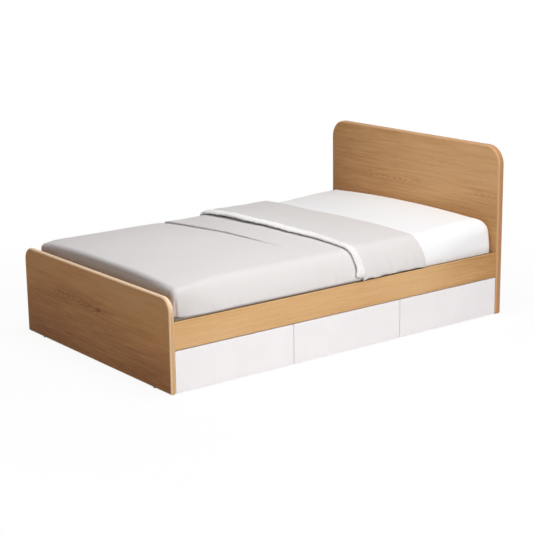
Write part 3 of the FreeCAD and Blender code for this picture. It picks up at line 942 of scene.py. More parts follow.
@dataclass(frozen=True)
class Carcass:
    """The bed's rigid pieces and their finishes."""

    oak_deep: Colour = tone(178, 126, 73)
    oak_middle: Colour = tone(220, 175, 122)
    oak_pale: Colour = tone(235, 198, 149)
    oak_edge: Colour = tone(211, 170, 121)
    oak_arris: Colour = tone(219, 178, 126)
    # A painted shadow for the rail's top edge, under the quilt's overhang.
    oak_shadow: Colour = tone(112, 84, 54)
    # The headboard's oak in painted shade: a darker copy of the same oak, for its face, edge and arris.
    head_shade_deep: Colour = tone(160, 109, 62)
    head_shade_middle: Colour = tone(203, 158, 109)
    head_shade_pale: Colour = tone(220, 181, 134)
    head_shade_edge: Colour = tone(194, 142, 98)
    head_shade_arris: Colour = tone(204, 162, 120)
    # The footboard's oak in painted shade: a darker, more saturated copy of the same oak.
    shaded_deep: Colour = tone(160, 98, 50)
    shaded_middle: Colour = tone(226, 163, 101)
    shaded_pale: Colour = tone(240, 190, 132)
    # A painted highlight on the footboard's arris and on its top edge.
    foot_painted_highlight: Colour = tone(244, 212, 176)

    def finishes(self) -> dict[str, bpy.types.Material]:
        """Builds a finish for each material slot of the record that a rigid piece uses.

        Returns:
            Materials by the slot's name.
        """
        slat = Timber("slat_softwood", GrainAxis.ACROSS_BED, tone(186, 146, 96), tone(222, 190, 142),
                      tone(236, 210, 168), tone(226, 194, 146), tone(230, 200, 154), face_axis=2)
        drawer = Timber("drawer_foil", GrainAxis.ACROSS_BED, tone(186, 176, 158), tone(214, 206, 190),
                        tone(228, 222, 208), tone(222, 214, 198), tone(225, 218, 203), pore_dark=0.1,
                        roughness=(0.6, 0.47))
        finishes = {
            "carcass_board": Coated("carcass_melamine", tone(236, 233, 226), tone(226, 222, 214), 0.5,
                                    grain=0.0022, grain_depth=0.00012),
            "slat_wood": slat,
            "white_lacquer": Coated("front_lacquer", tone(250, 247, 249), tone(247, 244, 246), 0.38,
                                    mottle=0.18),
            "drawer_board": drawer,
            "runner_steel": Steel("runner_zinc", tone(206, 208, 212), tone(168, 171, 176)),
            "latch_plastic": Coated("latch_grey", tone(178, 178, 178), tone(166, 166, 167), 0.5,
                                    mottle=0.008),
            "plunger_plastic": Coated("plunger_white", tone(232, 232, 230), tone(222, 222, 219), 0.42,
                                      mottle=0.006),
            "hardware_steel": Steel("hardware_zinc", tone(200, 201, 204), tone(150, 152, 158),
                                    roughness=(0.38, 0.24)),
            "glide_plastic": Coated("glide_pale", tone(231, 228, 224), tone(224, 221, 216), 0.55,
                                    mottle=0.006),
        }
        return {slot: finish.material() for slot, finish in finishes.items()}

    def boards(self) -> dict[str, bpy.types.Material]:
        """Builds the oak finish of each board that shows its own figure.

        Returns:
            Materials by the board's name.
        """
        across, along = GrainAxis.ACROSS_BED, GrainAxis.ALONG_BED
        plain = (self.oak_deep, self.oak_middle, self.oak_pale)
        head_shade_tones = (self.head_shade_deep, self.head_shade_middle, self.head_shade_pale)
        shaded = (self.shaded_deep, self.shaded_middle, self.shaded_pale)
        # Every board's shade and low_shade below is painted shade, and painted light where a depth is below
        # zero. The rail's top edge carries a painted shadow, and the footboard's top edge a painted
        # highlight.
        boards = {
            "headboard": Timber("headboard_oak", across, *head_shade_tones, self.head_shade_edge, self.head_shade_arris,
                                figures=(Arches(0.585, -0.4, 0.08, 0.8), Arches(0.585, 0.44, 0.66, 0.6)),
                                shade=(0.15, -0.7, 0.24), low_shade=(0.66, 0.46, 0.1)),
            "footboard": Timber("footboard_oak", across, *shaded, self.oak_edge, self.foot_painted_highlight,
                                figures=(Arches(0.262, -0.36, 0.06, 1.0), Knot(0.047, 0.253)),
                                shade=(0.1, 0.6, -0.05), low_shade=(0.4, 0.04, 0.27),
                                upper_highlight_and_shadow=self.foot_painted_highlight),
            "right_rail": Timber("rail_oak", along, *plain, self.oak_edge, self.oak_arris, face_axis=0,
                                 shade=(0.35, 0.95, 0.3), upper_highlight_and_shadow=self.oak_shadow,
                                 upper_highlight_and_shadow_heights=(0.3, 0.315)),
            "left_panel": Timber("panel_oak", along, *plain, self.oak_edge, self.oak_arris, face_axis=0),
        }
        return {name: timber.material() for name, timber in boards.items()}

    def dress(self, frame: dict) -> None:
        """Finishes every rigid piece of the frame.
        """
        finishes = self.finishes()
        boards = self.boards()
        for part in frame["record"]["subparts"]:
            name, slot = part["node"], part["material_slot"]
            finish = boards.get(name) or finishes.get(slot)
            if finish is None:
                continue
            dress(frame["nodes"][name], finish)
            log.info("%s finished with %s", name, finish.name)


@dataclass(frozen=True)
class BeddingForm:
    """The mattress's soft block, over which every layer of bedding is laid by its flat lengths.

    Lengths across and along are measured on the cloth from the middle of the bed. The sides fall in a tall
    round, the ends in a tighter one, and the sides belly out over the rail before they tuck in. A zone is
    where a change starts and where it is whole, as shares of the half length from foot, -1, to head, 1.
    """

    half_width: float
    half_length: float
    middle_y: float
    top: float
    base: float
    rail_top: float
    side_roll: float = 0.072
    right_foot_roll: float = 0.013
    left_foot_roll: float = 0.055
    side_depth: float = 0.125
    side_ease: float = 0.42
    foot_side_depth: float = 0.05
    head_side_depth: float = 0.068
    foot_roll: float = 0.012
    foot_set_in: float = 0.012
    right_corner: float = 0.02
    corner_gap: float = 0.07
    left_corner: float = 0.05
    corner_limit: float = 1.5
    head_roll: float = 0.055
    head_set_out: float = 0.003
    belly: float = 0.0195
    head_belly: float = 0.014
    head_tuck: float = 0.03
    curl: float = 0.004
    clear: float = 0.001
    quilt_lift: float = 0.001
    side_droop: float = 0.004
    shoulder_droop: float = 0.026
    left_droop: float = 0.027
    left_sag: float = 0.007
    left_corner_droop: float = 0.014
    flap_droop: float = 0.017
    foot_droop: float = 0.003
    head_rise: float = 0.016
    head_dome: float = 0.011
    dome_power: float = 2.5
    shoulder_power: int = 4
    corner_power: int = 6
    foot_power: float = 8.0
    head_power: float = 7.0
    set_in: float = 0.008
    flat_share: float = 0.42
    step: float = 0.0005
    foot_zone: Range = (-0.7, -0.97)
    foot_droop_zone: Range = (-0.66, -1.0)
    foot_corner_zone: Range = (-0.9, -1.0)
    belly_zone: Range = (-0.99, -0.89)
    sag_place: Bell = (-0.17, 0.22)
    flap_zone: Range = (-0.03, 0.12)
    lift_zone: Range = (0.1, 0.02)
    bare_zone: Range = (0.46, 0.54)
    shoulder_zone: Range = (0.75, 0.3)
    head_zone: Range = (0.6, 0.95)
    head_rise_zone: Range = (0.45, 0.92)
    belly_drop: Range = (0.02, 0.15)
    corner_drop: Range = (0.02, 0.13)
    gap_top: Range = (0.007, 0.001)
    gap_bottom: Range = (-0.03, -0.01)

    @classmethod
    def from_frame(cls) -> "BeddingForm":
        """Takes the block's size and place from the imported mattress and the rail.

        Returns:
            The form.
        """
        low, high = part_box("mattress")
        return cls(half_width=(high.x - low.x) / 2, half_length=(high.y - low.y) / 2,
                   middle_y=(high.y + low.y) / 2, top=high.z - cls.set_in, base=low.z,
                   rail_top=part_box("right_rail")[1].z)

    def end_roll(self, along: np.ndarray) -> np.ndarray:
        """The radius of the rounded edge at the end that a place lies towards."""
        return np.where(along < 0, self.foot_roll, self.head_roll)

    def end_reach(self, along: np.ndarray) -> np.ndarray:
        """How far the form reaches to the end that a place lies towards."""
        return self.half_length + np.where(along < 0, -self.foot_set_in, self.head_set_out)

    def side_roll_at(self, across: np.ndarray, along: np.ndarray) -> np.ndarray:
        """How far in the sides' round starts, which is less at the foot and least at its right corner.

        Args:
            across: Flat length from the middle line.
            along: Flat length from the middle of the bed.

        Returns:
            The lengths.
        """
        at_foot = np.where(across < 0, self.left_foot_roll, self.right_foot_roll)
        near_foot = smooth_step(*self.foot_zone, along / self.half_length)
        return self.side_roll + (at_foot - self.side_roll) * near_foot

    def side_fall(self, along: np.ndarray) -> np.ndarray:
        """The height of the sides' round, which is less near the ends.

        Args:
            along: Flat length from the middle of the bed.

        Returns:
            The heights.
        """
        share = along / self.half_length
        head = (self.head_side_depth - self.side_depth) * smooth_step(*self.head_zone, share)
        foot = (self.foot_side_depth - self.side_depth) * smooth_step(*self.foot_zone, share)
        return self.side_depth + head + foot

    def beyond(self, across: np.ndarray, along: np.ndarray) -> tuple[np.ndarray, np.ndarray]:
        """How far a place has passed the start of the rounded edge, to the side and to the end.

        Args:
            across: Flat length from the middle line.
            along: Flat length from the middle of the bed.

        Returns:
            Both lengths, zero on the top.
        """
        return (np.maximum(np.abs(across) - (self.half_width - self.side_roll_at(across, along)), 0),
                np.maximum(np.abs(along) - (self.end_reach(along) - self.end_roll(along)), 0))

    def corner_angle(self, across: np.ndarray, along: np.ndarray) -> np.ndarray:
        """The way the wall faces round a corner: 0 faces the side and a right angle faces the end.

        Args:
            across: Flat length from the middle line.
            along: Flat length from the middle of the bed.

        Returns:
            The angle in radians.
        """
        sideways, endways = self.beyond(across, along)
        side_share = sideways / self.side_roll_at(across, along)
        end_share = endways / self.end_roll(along)
        larger = np.maximum(np.maximum(side_share, end_share), self.step)
        share = np.minimum(side_share, end_share) / larger
        return np.where(side_share >= end_share, share, 2 - share) * RIGHT_ANGLE / 2

    def half_span(self, lowest: np.ndarray, side: np.ndarray, along: np.ndarray) -> np.ndarray:
        """The flat length from the middle line to where a side comes down to a height.

        Args:
            lowest: The height.
            side: -1 for the left side and 1 for the right one.
            along: Flat length from the middle of the bed.

        Returns:
            The flat lengths.
        """
        edge = self.top + self.crown(side * self.half_width, along)
        roll, depth = self.side_roll_at(side, along), self.side_fall(along)
        return self.half_width - roll + (roll + depth) / 2 * RIGHT_ANGLE + edge - depth - lowest

    def end_span(self, lowest: float, end: int, across: np.ndarray) -> np.ndarray:
        """The flat length from the middle of the bed to where an end comes down to a height.

        Args:
            lowest: The height.
            end: -1 for the foot and 1 for the head.
            across: Flat length from the middle line.

        Returns:
            The flat lengths.
        """
        edge = self.top + self.crown(across, end * self.half_length)
        return self.end_reach(end) + self.end_roll(end) * (RIGHT_ANGLE - 2) + edge - lowest

    def fall(self, past: np.ndarray, reach: np.ndarray, depth: np.ndarray) -> np.ndarray:
        """How far down cloth has gone that has passed the start of a rounded edge.

        Args:
            past: Flat length past the start of the edge.
            reach: How far out the round goes.
            depth: How far down the round goes.

        Returns:
            The drops.
        """
        turn = (reach + depth) / 2
        bend = np.minimum(past / turn, RIGHT_ANGLE)
        return depth * (1 - np.cos(bend)) + np.maximum(past - turn * RIGHT_ANGLE, 0)

    def points(self, across: np.ndarray, along: np.ndarray, growth: np.ndarray | float = 0.0) -> np.ndarray:
        """Lays flat places on the form or at a height over it.

        Args:
            across: Flat length from the middle line.
            along: Flat length from the middle of the bed.
            growth: The height over the form.

        Returns:
            The places in space, one row each.
        """
        sideways, endways = self.beyond(across, along)
        end_roll = self.end_roll(along)
        side_roll, depth = self.side_roll_at(across, along), self.side_fall(along)
        drop = np.maximum(self.fall(sideways, side_roll, depth), self.fall(endways, end_roll, end_roll))
        side_up, end_up = np.maximum(1 - drop / depth, 0), np.maximum(1 - drop / end_roll, 0)
        angle = self.corner_angle(across, along)
        cosine, sine = np.cos(angle), np.sin(angle)
        power = np.where(along < 0, self.foot_power, self.head_power)
        size = (cosine ** power + sine ** power) ** (1 / power)
        side_reach = (side_roll + growth) * (1 - side_up ** 2) ** self.side_ease * cosine / size
        end_reach = (end_roll + growth) * np.sqrt(1 - end_up ** 2) * sine / size
        out_x = np.minimum(np.abs(across), self.half_width - side_roll) + side_reach
        out_y = np.minimum(np.abs(along), self.end_reach(along) - end_roll) + end_reach
        place_y = np.sign(along) * out_y
        height = self.top + self.crown(np.sign(across) * out_x, place_y) - drop
        height = height + growth * (side_up * cosine ** 2 + end_up * sine ** 2)
        out_x = out_x + self.belly_at(drop, height, place_y) * cosine / size
        out_x, place_y = self.round_foot(out_x, place_y, across < 0, drop, height)
        return np.stack((np.sign(across) * out_x, self.middle_y + place_y, height), axis=-1)

    def round_foot(self, out_x: np.ndarray, place_y: np.ndarray, left: np.ndarray, drop: np.ndarray,
                   height: np.ndarray) -> tuple[np.ndarray, np.ndarray]:
        """Rounds the foot's upright corners: the left one all the way down, the right one over the rail.

        Args:
            out_x: Places out from the middle line.
            place_y: Places along the bed, from its middle.
            left: Whether each place lies on the left.
            drop: How far each place has come down from the top.
            height: The height over the floor.

        Returns:
            The rounded places out and along.
        """
        over_rail = height - self.rail_top
        in_gap = smooth_step(*self.gap_top, over_rail) * smooth_step(*self.gap_bottom, over_rail)
        right = self.right_corner * smooth_step(*self.corner_drop, drop) + self.corner_gap * in_gap
        radius = np.where(left, self.left_corner, right) + self.step
        from_side = self.half_width + self.stand_out(drop, place_y) - out_x
        from_foot = place_y + self.half_length - self.foot_set_in
        beside = from_side < from_foot
        near = np.minimum(np.where(beside, from_foot, from_side), radius)
        turn = np.minimum(1 - near / radius, self.corner_limit) * RIGHT_ANGLE / 2
        inward = radius * (1 - np.cos(turn))
        onward = radius * (1 - np.sin(turn)) - near
        return (out_x - np.where(beside, inward, onward), place_y + np.where(beside, onward, inward))

    def belly_at(self, drop: np.ndarray, height: np.ndarray, place_y: np.ndarray) -> np.ndarray:
        """How far a side stands out, down to where it tucks in over the rail or, near the head, behind it.

        Args:
            drop: How far the side has come down from the top.
            height: The height over the floor.
            place_y: Places along the bed, from its middle.

        Returns:
            The lengths outwards.
        """
        share = place_y / self.half_length
        bare = self.bare(place_y)
        lowest = self.rail_top + self.clear + self.quilt_lift * smooth_step(*self.lift_zone, share)
        start = lowest - self.head_tuck * bare
        end = lowest + self.curl * (1 - bare) - 2 * self.clear * bare
        return self.stand_out(drop, place_y) * smooth_step(start, end, height)

    def bare(self, place_y: np.ndarray) -> np.ndarray:
        """How far a place along the bed lies past the quilt, from 0 to 1."""
        return smooth_step(*self.bare_zone, place_y / self.half_length)

    def stand_out(self, drop: np.ndarray, place_y: np.ndarray) -> np.ndarray:
        """How far a side stands out over the tuck, which is nothing at the foot's corners.

        Args:
            drop: How far the side has come down from the top.
            place_y: Places along the bed, from its middle.

        Returns:
            The lengths outwards.
        """
        belly = self.belly + (self.head_belly - self.belly) * self.bare(place_y)
        from_corner = smooth_step(*self.belly_zone, place_y / self.half_length)
        return belly * from_corner * smooth_step(*self.belly_drop, drop)

    def crown(self, place_x: np.ndarray, place_y: np.ndarray) -> np.ndarray:
        """The top's rise towards the head and its droop towards the foot and the sides.

        Args:
            place_x: Places across the bed.
            place_y: Places along the bed, from its middle.

        Returns:
            The height over the plain top.
        """
        share = np.clip(place_y / self.half_length, -1, 1)
        out = np.clip(place_x / self.half_width, -1, 1)
        head = self.head_rise + self.head_dome * (1 - np.abs(out) ** self.dome_power)
        rise = head * smooth_step(*self.head_rise_zone, share)
        fall = self.foot_droop * smooth_step(*self.foot_droop_zone, share)
        left = self.left_droop + (self.flap_droop - self.left_droop) * smooth_step(*self.flap_zone, share)
        left = left + self.left_sag * hump(*self.sag_place, share)
        corner = smooth_step(*self.foot_corner_zone, share) * np.abs(out) ** self.corner_power
        left = left + self.left_corner_droop * corner
        sides = np.where(out < 0, left, self.side_droop) * out ** 2
        shoulder = self.shoulder_droop * smooth_step(*self.shoulder_zone, share)
        return rise - fall - sides - shoulder * np.maximum(out, 0) ** self.shoulder_power

    def spread(self, side: np.ndarray, half: np.ndarray) -> np.ndarray:
        """Spaces the columns from edge to edge, closer together down the sides.

        Args:
            side: Evenly spaced places from -1 to 1.
            half: Flat length from the middle line to the edge, for each place.

        Returns:
            Flat lengths from the middle line.
        """
        flat = self.half_width - self.side_roll
        inner = np.minimum(np.abs(side) / self.flat_share, 1)
        outer = np.maximum(np.abs(side) - self.flat_share, 0) / (1 - self.flat_share)
        return np.sign(side) * (inner * flat + outer * (half - flat))

    def normals(self, across: np.ndarray, along: np.ndarray) -> np.ndarray:
        """The form's outward directions at flat places.

        Args:
            across: Flat length from the middle line.
            along: Flat length from the middle of the bed.

        Returns:
            Unit directions, one row each.
        """
        over = self.points(across + self.step, along) - self.points(across - self.step, along)
        onward = self.points(across, along + self.step) - self.points(across, along - self.step)
        cross = np.cross(over, onward)
        return cross / np.maximum(np.linalg.norm(cross, axis=-1, keepdims=True), TINY)


def grid_piece(name: str, columns: int, rows: int) -> tuple[bpy.types.Object, np.ndarray, np.ndarray]:
    """Starts a soft piece as a flat grid with a UV map.

    Args:
        name: The piece's name.
        columns: Cells across.
        rows: Cells along.

    Returns:
        The piece, and each point's shares across and along the grid.
    """
    bpy.ops.object.select_all(action="DESELECT")
    bpy.ops.mesh.primitive_grid_add(x_subdivisions=columns, y_subdivisions=rows, size=1)
    piece = bpy.context.object
    piece.name = name
    piece.data.name = name
    places = read_points(piece)
    return piece, places[:, 0] + 0.5, places[:, 1] + 0.5


def read_points(piece: bpy.types.Object) -> np.ndarray:
    """Reads the places of a mesh's points.

    Args:
        piece: The mesh object.

    Returns:
        One row for each point.
    """
    flat = np.empty(len(piece.data.vertices) * 3)
    piece.data.vertices.foreach_get("co", flat)
    return flat.reshape(-1, 3)


def write_points(piece: bpy.types.Object, places: np.ndarray) -> None:
    """Sets the places of a mesh's points.

    Args:
        piece: The mesh object.
        places: One row for each point.
    """
    piece.data.vertices.foreach_set("co", places.astype(np.float32).ravel())
    piece.data.update()


def select_only(*pieces: bpy.types.Object) -> None:
    """Selects some pieces and nothing else, with the first one active.

    Args:
        pieces: The pieces.
    """
    bpy.ops.object.select_all(action="DESELECT")
    for piece in pieces:
        piece.select_set(True)
    bpy.context.view_layer.objects.active = pieces[0]


def edit(piece: bpy.types.Object, *steps: tuple[str, dict]) -> None:
    """Runs mesh operators on all of a piece in edit mode.

    Args:
        piece: The piece to edit.
        steps: Pairs of an operator's name and its settings.
    """
    select_only(piece)
    bpy.ops.object.mode_set(mode="EDIT")
    bpy.ops.mesh.select_all(action="SELECT")
    for name, settings in steps:
        getattr(bpy.ops.mesh, name)(**settings)
    bpy.ops.object.mode_set(mode="OBJECT")


def close_seams(piece: bpy.types.Object) -> None:
    """Merges the points that meet along a piece's seams and turns its faces outwards."""
    edit(piece, ("remove_doubles", {"threshold": MERGE}), ("normals_make_consistent", {}))


def shade_smooth(piece: bpy.types.Object) -> None:
    """Shades a soft piece without facets."""
    select_only(piece)
    bpy.ops.object.shade_smooth()


@dataclass(frozen=True)
class Wave:
    """A wave over two flat lengths, in radians for each unit, which another wave can make uneven."""

    across: float
    along: float
    shift: float = 0.0
    height: float = 1.0
    drift: "Wave | None" = None

    def at(self, across: np.ndarray, along: np.ndarray | float = 0.0) -> np.ndarray:
        """The wave's height at flat places.

        Args:
            across: Flat lengths one way.
            along: Flat lengths the other way.

        Returns:
            The heights, round zero.
        """
        drift = 0.0 if self.drift is None else self.drift.at(across, along)
        return self.height * np.sin(across * self.across + along * self.along + self.shift + drift)


def crossed(waves: tuple[Wave, Wave], across: np.ndarray, along: np.ndarray) -> np.ndarray:
    """Two waves that cross and make soft bumps.

    Args:
        waves: The waves.
        across: Flat length from the middle line.
        along: Flat length from the middle of the bed.

    Returns:
        The bumps' heights.
    """
    return waves[0].at(across, along) * waves[1].at(across, along)


@dataclass(frozen=True)
class Swelling:
    """A short cloth simulation that fills a closed soft piece."""

    pressure: float
    limit: float
    frames: int = 14
    stiffness: float = 12.0
    quality: int = 4

    def run(self, piece: bpy.types.Object, held: np.ndarray) -> None:
        """Swells a piece and keeps each point near where it started.

        Args:
            piece: The closed piece.
            held: Shares from 0, free, to 1, held fast, for each point.
        """
        start = read_points(piece)
        group = piece.vertex_groups.new(name="held")
        for index, share in enumerate(held):
            group.add([index], float(share), "REPLACE")
        cloth = piece.modifiers.new("swelling", "CLOTH")
        cloth.settings.use_pressure = True
        cloth.settings.uniform_pressure_force = self.pressure
        cloth.settings.effector_weights.gravity = 0.0
        cloth.settings.vertex_group_mass = group.name
        cloth.settings.tension_stiffness = self.stiffness
        cloth.settings.compression_stiffness = self.stiffness
        cloth.settings.quality = self.quality
        cloth.point_cache.frame_end = self.frames
        scene = bpy.context.scene
        for frame_number in range(1, self.frames + 1):
            scene.frame_set(frame_number)
        ready = piece.evaluated_get(bpy.context.evaluated_depsgraph_get())
        moved = read_points(ready) - start
        piece.modifiers.remove(cloth)
        piece.vertex_groups.remove(group)
        scene.frame_set(1)
        reach = np.linalg.norm(moved, axis=1, keepdims=True)
        write_points(piece, start + moved * np.minimum(1, self.limit / np.maximum(reach, TINY)))
        log.info("%s swelled by up to %.1f mm", piece.name, 1000 * min(self.limit, reach.max()))


@dataclass(frozen=True)
class Mattress:
    """The mattress in its white fitted sheet."""

    form: BeddingForm
    columns: int = 190
    rows: int = 170
    slack: float = 0.003
    under: float = 0.002
    pressure: float = 4.0
    gather_height: float = 0.0011
    side_gathers: Wave = Wave(0, 88, drift=Wave(0, 23, height=3))
    end_gathers: Wave = Wave(82, 0, drift=Wave(19, 0, height=2))
    gather_down: Range = (0.08, 0.3)
    gather_zone: Range = (0.45, 0.95)
    waves: tuple[Wave, Wave] = (Wave(6.1, 3.3, 0.6, 0.0012), Wave(-2.1, 5.2))

    def build(self) -> bpy.types.Object:
        """Models and dresses the mattress.

        Returns:
            The piece.
        """
        form = self.form
        piece, share_across, share_along = grid_piece("mattress_sheet", self.columns, self.rows)
        lowest = form.base + self.under
        side = 2 * share_across - 1
        rough_along = (2 * share_along - 1) * form.half_length
        across = form.spread(side, form.half_span(lowest, np.sign(side), rough_along))
        foot, head = form.end_span(lowest, -1, across), form.end_span(lowest, 1, across)
        along = share_along * (foot + head) - foot
        places = form.points(across, along, self.gathers(across, along) - self.slack)
        places[:, 2] = np.maximum(places[:, 2], lowest)
        write_points(piece, places)
        edit(piece, ("select_all", {"action": "DESELECT"}), ("select_non_manifold", {}),
             ("fill_grid", {"use_interp_simple": True}),
             ("select_all", {"action": "SELECT"}), ("normals_make_consistent", {}))
        low = read_points(piece)[:, 2] < lowest + self.slack
        Swelling(self.pressure, self.slack).run(piece, low.astype(float))
        shade_smooth(piece)
        finish = Cloth("sheet_cotton", tone(249, 249, 250), tone(244, 244, 246), (1.5, 2.2), thread=0.0009)
        piece.data.materials.append(finish.material())
        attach(piece, "bed_frame")
        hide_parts("mattress")
        return piece

    def gathers(self, across: np.ndarray, along: np.ndarray) -> np.ndarray:
        """Soft unevenness on the top and gathers low on the sides near the corners.

        Args:
            across: Flat length from the middle line.
            along: Flat length from the middle of the bed.

        Returns:
            The height of the folds.
        """
        sideways, endways = self.form.beyond(across, along)
        low = smooth_step(*self.gather_down, np.maximum(sideways, endways))
        near_end = smooth_step(*self.gather_zone, np.abs(along) / self.form.half_length)
        folds = self.side_gathers.at(across, along) + self.end_gathers.at(across, along)
        broad = crossed(self.waves, across, along)
        return self.gather_height * low * near_end * folds + broad * (1 - low)


@dataclass(frozen=True)
class QuiltLines:
    """Where the quilt's fold, hem and crease lie, as places along the bed for places across it."""

    fold_across: tuple[float, ...] = (-0.66, -0.44, -0.2, 0.0, 0.3, 0.45, 0.56, 0.65, 0.7)
    fold_along: tuple[float, ...] = (0.435, 0.41, 0.408, 0.419, 0.442, 0.444, 0.465, 0.482, 0.472)
    hem_across: tuple[float, ...] = (-0.66, -0.43, -0.2, 0.0, 0.2, 0.35, 0.6, 0.7)
    hem_along: tuple[float, ...] = (0.036, 0.032, 0.024, 0.029, 0.038, 0.055, 0.08, 0.086)
    crease_across: tuple[float, ...] = (-0.62, -0.42, -0.2, 0.0, 0.25, 0.45, 0.565)
    crease_along: tuple[float, ...] = (-0.207, -0.213, -0.205, -0.185, -0.177, -0.163, -0.16)
    fold_waver: Wave = Wave(17, 0, 0.8, 0.004)
    hem_waver: Wave = Wave(21, 0, 1.7, 0.003)

    def fold(self, across: np.ndarray) -> np.ndarray:
        """Where the quilt turns back, with a slight waver."""
        return even_line(self.fold_across, self.fold_along, across) + self.fold_waver.at(across)

    def hem(self, across: np.ndarray) -> np.ndarray:
        """Where the middle of the hem lies, with a slight waver."""
        return even_line(self.hem_across, self.hem_along, across) + self.hem_waver.at(across)

    def crease(self, across: np.ndarray) -> np.ndarray:
        """Where the crease lies."""
        return even_line(self.crease_across, self.crease_along, across)


@dataclass(frozen=True)
class Quilt:
    """The grey quilt: tucked in at the foot and the sides, and turned back near the head."""

    form: BeddingForm
    lines: QuiltLines
    columns: int = 160
    rows: int = 300
    thick: float = 0.009
    gap: float = 0.0005
    tuck: float = 0.02
    waver: float = 0.004
    waver_turns: float = 67.0
    turn_share: float = 0.76
    flap_share: float = 0.82
    rim_cells: float = 2.0
    row_knots: tuple[float, ...] = (0.0, 0.06, 0.13, 0.19, 0.36, 0.64)
    row_shares: tuple[float, ...] = (0.0, 0.1, 0.12, 0.165, 0.53, 0.645)
    lift_across: tuple[float, ...] = (-0.66, -0.57, -0.45, -0.3, 0.1, 0.5, 0.66)
    lift_heights: tuple[float, ...] = (0.001, 0.004, 0.012, 0.015, 0.009, 0.0065, 0.011)
    lift_reach: float = 0.12
    waves: tuple[Wave, Wave] = (Wave(7.1, 2.3, 0.4, 0.0016), Wave(-1.9, 5.7, 1.1))
    ripples: tuple[Wave, Wave] = (Wave(15.3, -4.1, 0.0, 0.0007), Wave(3.7, 12.9, 0.5))
    flap_wave: Wave = Wave(-7, 47, height=0.0011, drift=Wave(9, 4, height=1.3))
    flap_place: Bell = (0.22, 0.14)
    crease_across: tuple[float, ...] = (-0.7, -0.3, 0.0, 0.25, 0.5)
    crease_strength: tuple[float, ...] = (1.0, 1.0, 0.8, 0.4, 0.0)
    lip_height: float = 0.0025
    lip_start: Range = (-0.003, 0.003)
    lip_end: Range = (0.13, 0.0)
    dip_depth: float = 0.008
    dip_start: Range = (-0.06, -0.004)
    dip_end: Range = (0.002, -0.004)
    lean: float = 0.012
    lean_start: Range = (-0.004, 0.002)
    lean_end: Range = (0.04, 0.003)
    pucker_height: float = 0.0013
    pucker_waves: tuple[Wave, Wave] = (Wave(0, 71, drift=Wave(0, 13.7, height=2.5)), Wave(0, 127, 1.3, 0.6))
    pucker_down: Range = (0.07, 0.16)
    pucker_end: Range = (0.03, 0.0)
    pucker_foot: Bell = (-0.76, 0.16)
    pucker_flap: Bell = (0.32, 0.14)
    pucker_least: float = 0.25
    pucker_flap_strength: float = 1.7
    fold_from: float = 0.572
    fold_to: float = 0.585
    fold_ease: float = 0.005
    fold_depth: float = 0.004
    fold_face: Range = (0.006, -0.002)
    fold_down: Range = (-0.01, -0.034)

    @property
    def main_height(self) -> float:
        """Height of the main layer's middle over the mattress."""
        return self.gap + self.thick / 2

    @property
    def flap_height(self) -> float:
        """Height of the turned-back layer's middle over the mattress."""
        return 2 * self.gap + self.thick * 3 / 2

    def hem_lift(self, across: np.ndarray) -> np.ndarray:
        """How far the turned-back edge stands up off the quilt under it."""
        return np.interp(across, self.lift_across, self.lift_heights)

    def build(self) -> bpy.types.Object:
        """Models and dresses the quilt.

        Returns:
            The piece.
        """
        upper = self.side("quilt_cloth", self.thick / 2)
        lower = self.side("quilt_lower", -self.thick / 2)
        select_only(upper, lower)
        bpy.ops.object.join()
        close_seams(upper)
        shade_smooth(upper)
        finish = Cloth("quilt_cotton", tone(224, 220, 219), tone(217, 213, 212), (1.5, 2.0))
        upper.data.materials.append(finish.material())
        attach(upper, "bed_frame")
        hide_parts("quilt")
        return upper

    def side(self, name: str, offset: float) -> bpy.types.Object:
        """Lays one face of the cloth, which meets the other face all round its rim.

        Args:
            name: The face's name.
            offset: Its height over the middle of the cloth, before the cloth turns back.

        Returns:
            The face's object.
        """
        piece, share_across, share_path = grid_piece(name, self.columns, self.rows)
        inset = np.minimum(np.minimum(share_across, 1 - share_across) * self.columns,
                           np.minimum(share_path, 1 - share_path) * self.rows)
        rim = np.sqrt(1 - (1 - np.clip(inset / self.rim_cells, 0, 1)) ** 2)
        across, along, height = self.path(share_across, share_path, offset * rim)
        rise = self.rise(across, along)
        if offset > 0:
            along = along - self.overhang(across, along) * (share_path < self.turn_share)
        else:
            turned = smooth_step(self.turn_share, self.flap_share, share_path)
            rise = turned * rise + (1 - turned) * np.maximum(rise, 0)
        write_points(piece, self.fold_corners(self.form.points(across, along, height + rise * rim)))
        return piece

    def path(self, share_across: np.ndarray, share_path: np.ndarray,
             offset: np.ndarray) -> tuple[np.ndarray, np.ndarray, np.ndarray]:
        """Follows the cloth from the tucked foot over the top, round the turn and back to the hem.

        Args:
            share_across: Shares from the left edge to the right one.
            share_path: Shares from the foot to the hem.
            offset: Height over the middle of the cloth.

        Returns:
            Flat places across and along the bed, and the height over the mattress.
        """
        form = self.form
        side = 2 * share_across - 1
        turned = (share_path - self.turn_share) / (self.flap_share - self.turn_share)
        around = np.clip(turned, 0, 1) * math.pi
        rough_along = self.lengthwise(side * form.half_width, share_path)
        resting = form.rail_top + form.clear + self.waver * (1 + np.sin(rough_along * self.waver_turns)) / 2
        tucked = form.rail_top - self.tuck
        lowest = tucked + (resting - tucked) * (1 - np.cos(around)) / 2
        across = form.spread(side, form.half_span(lowest, np.sign(side), rough_along))
        radius = (self.flap_height - self.main_height) / 2
        along = self.lengthwise(across, share_path) + (radius - offset) * np.sin(around)
        off_hem = along - self.lines.hem(across) + form.middle_y
        near_hem = hump(0.0, self.lift_reach, off_hem) * (share_path >= self.flap_share)
        height = self.main_height + radius - (radius - offset) * np.cos(around)
        return across, along, height + self.hem_lift(across) * near_hem

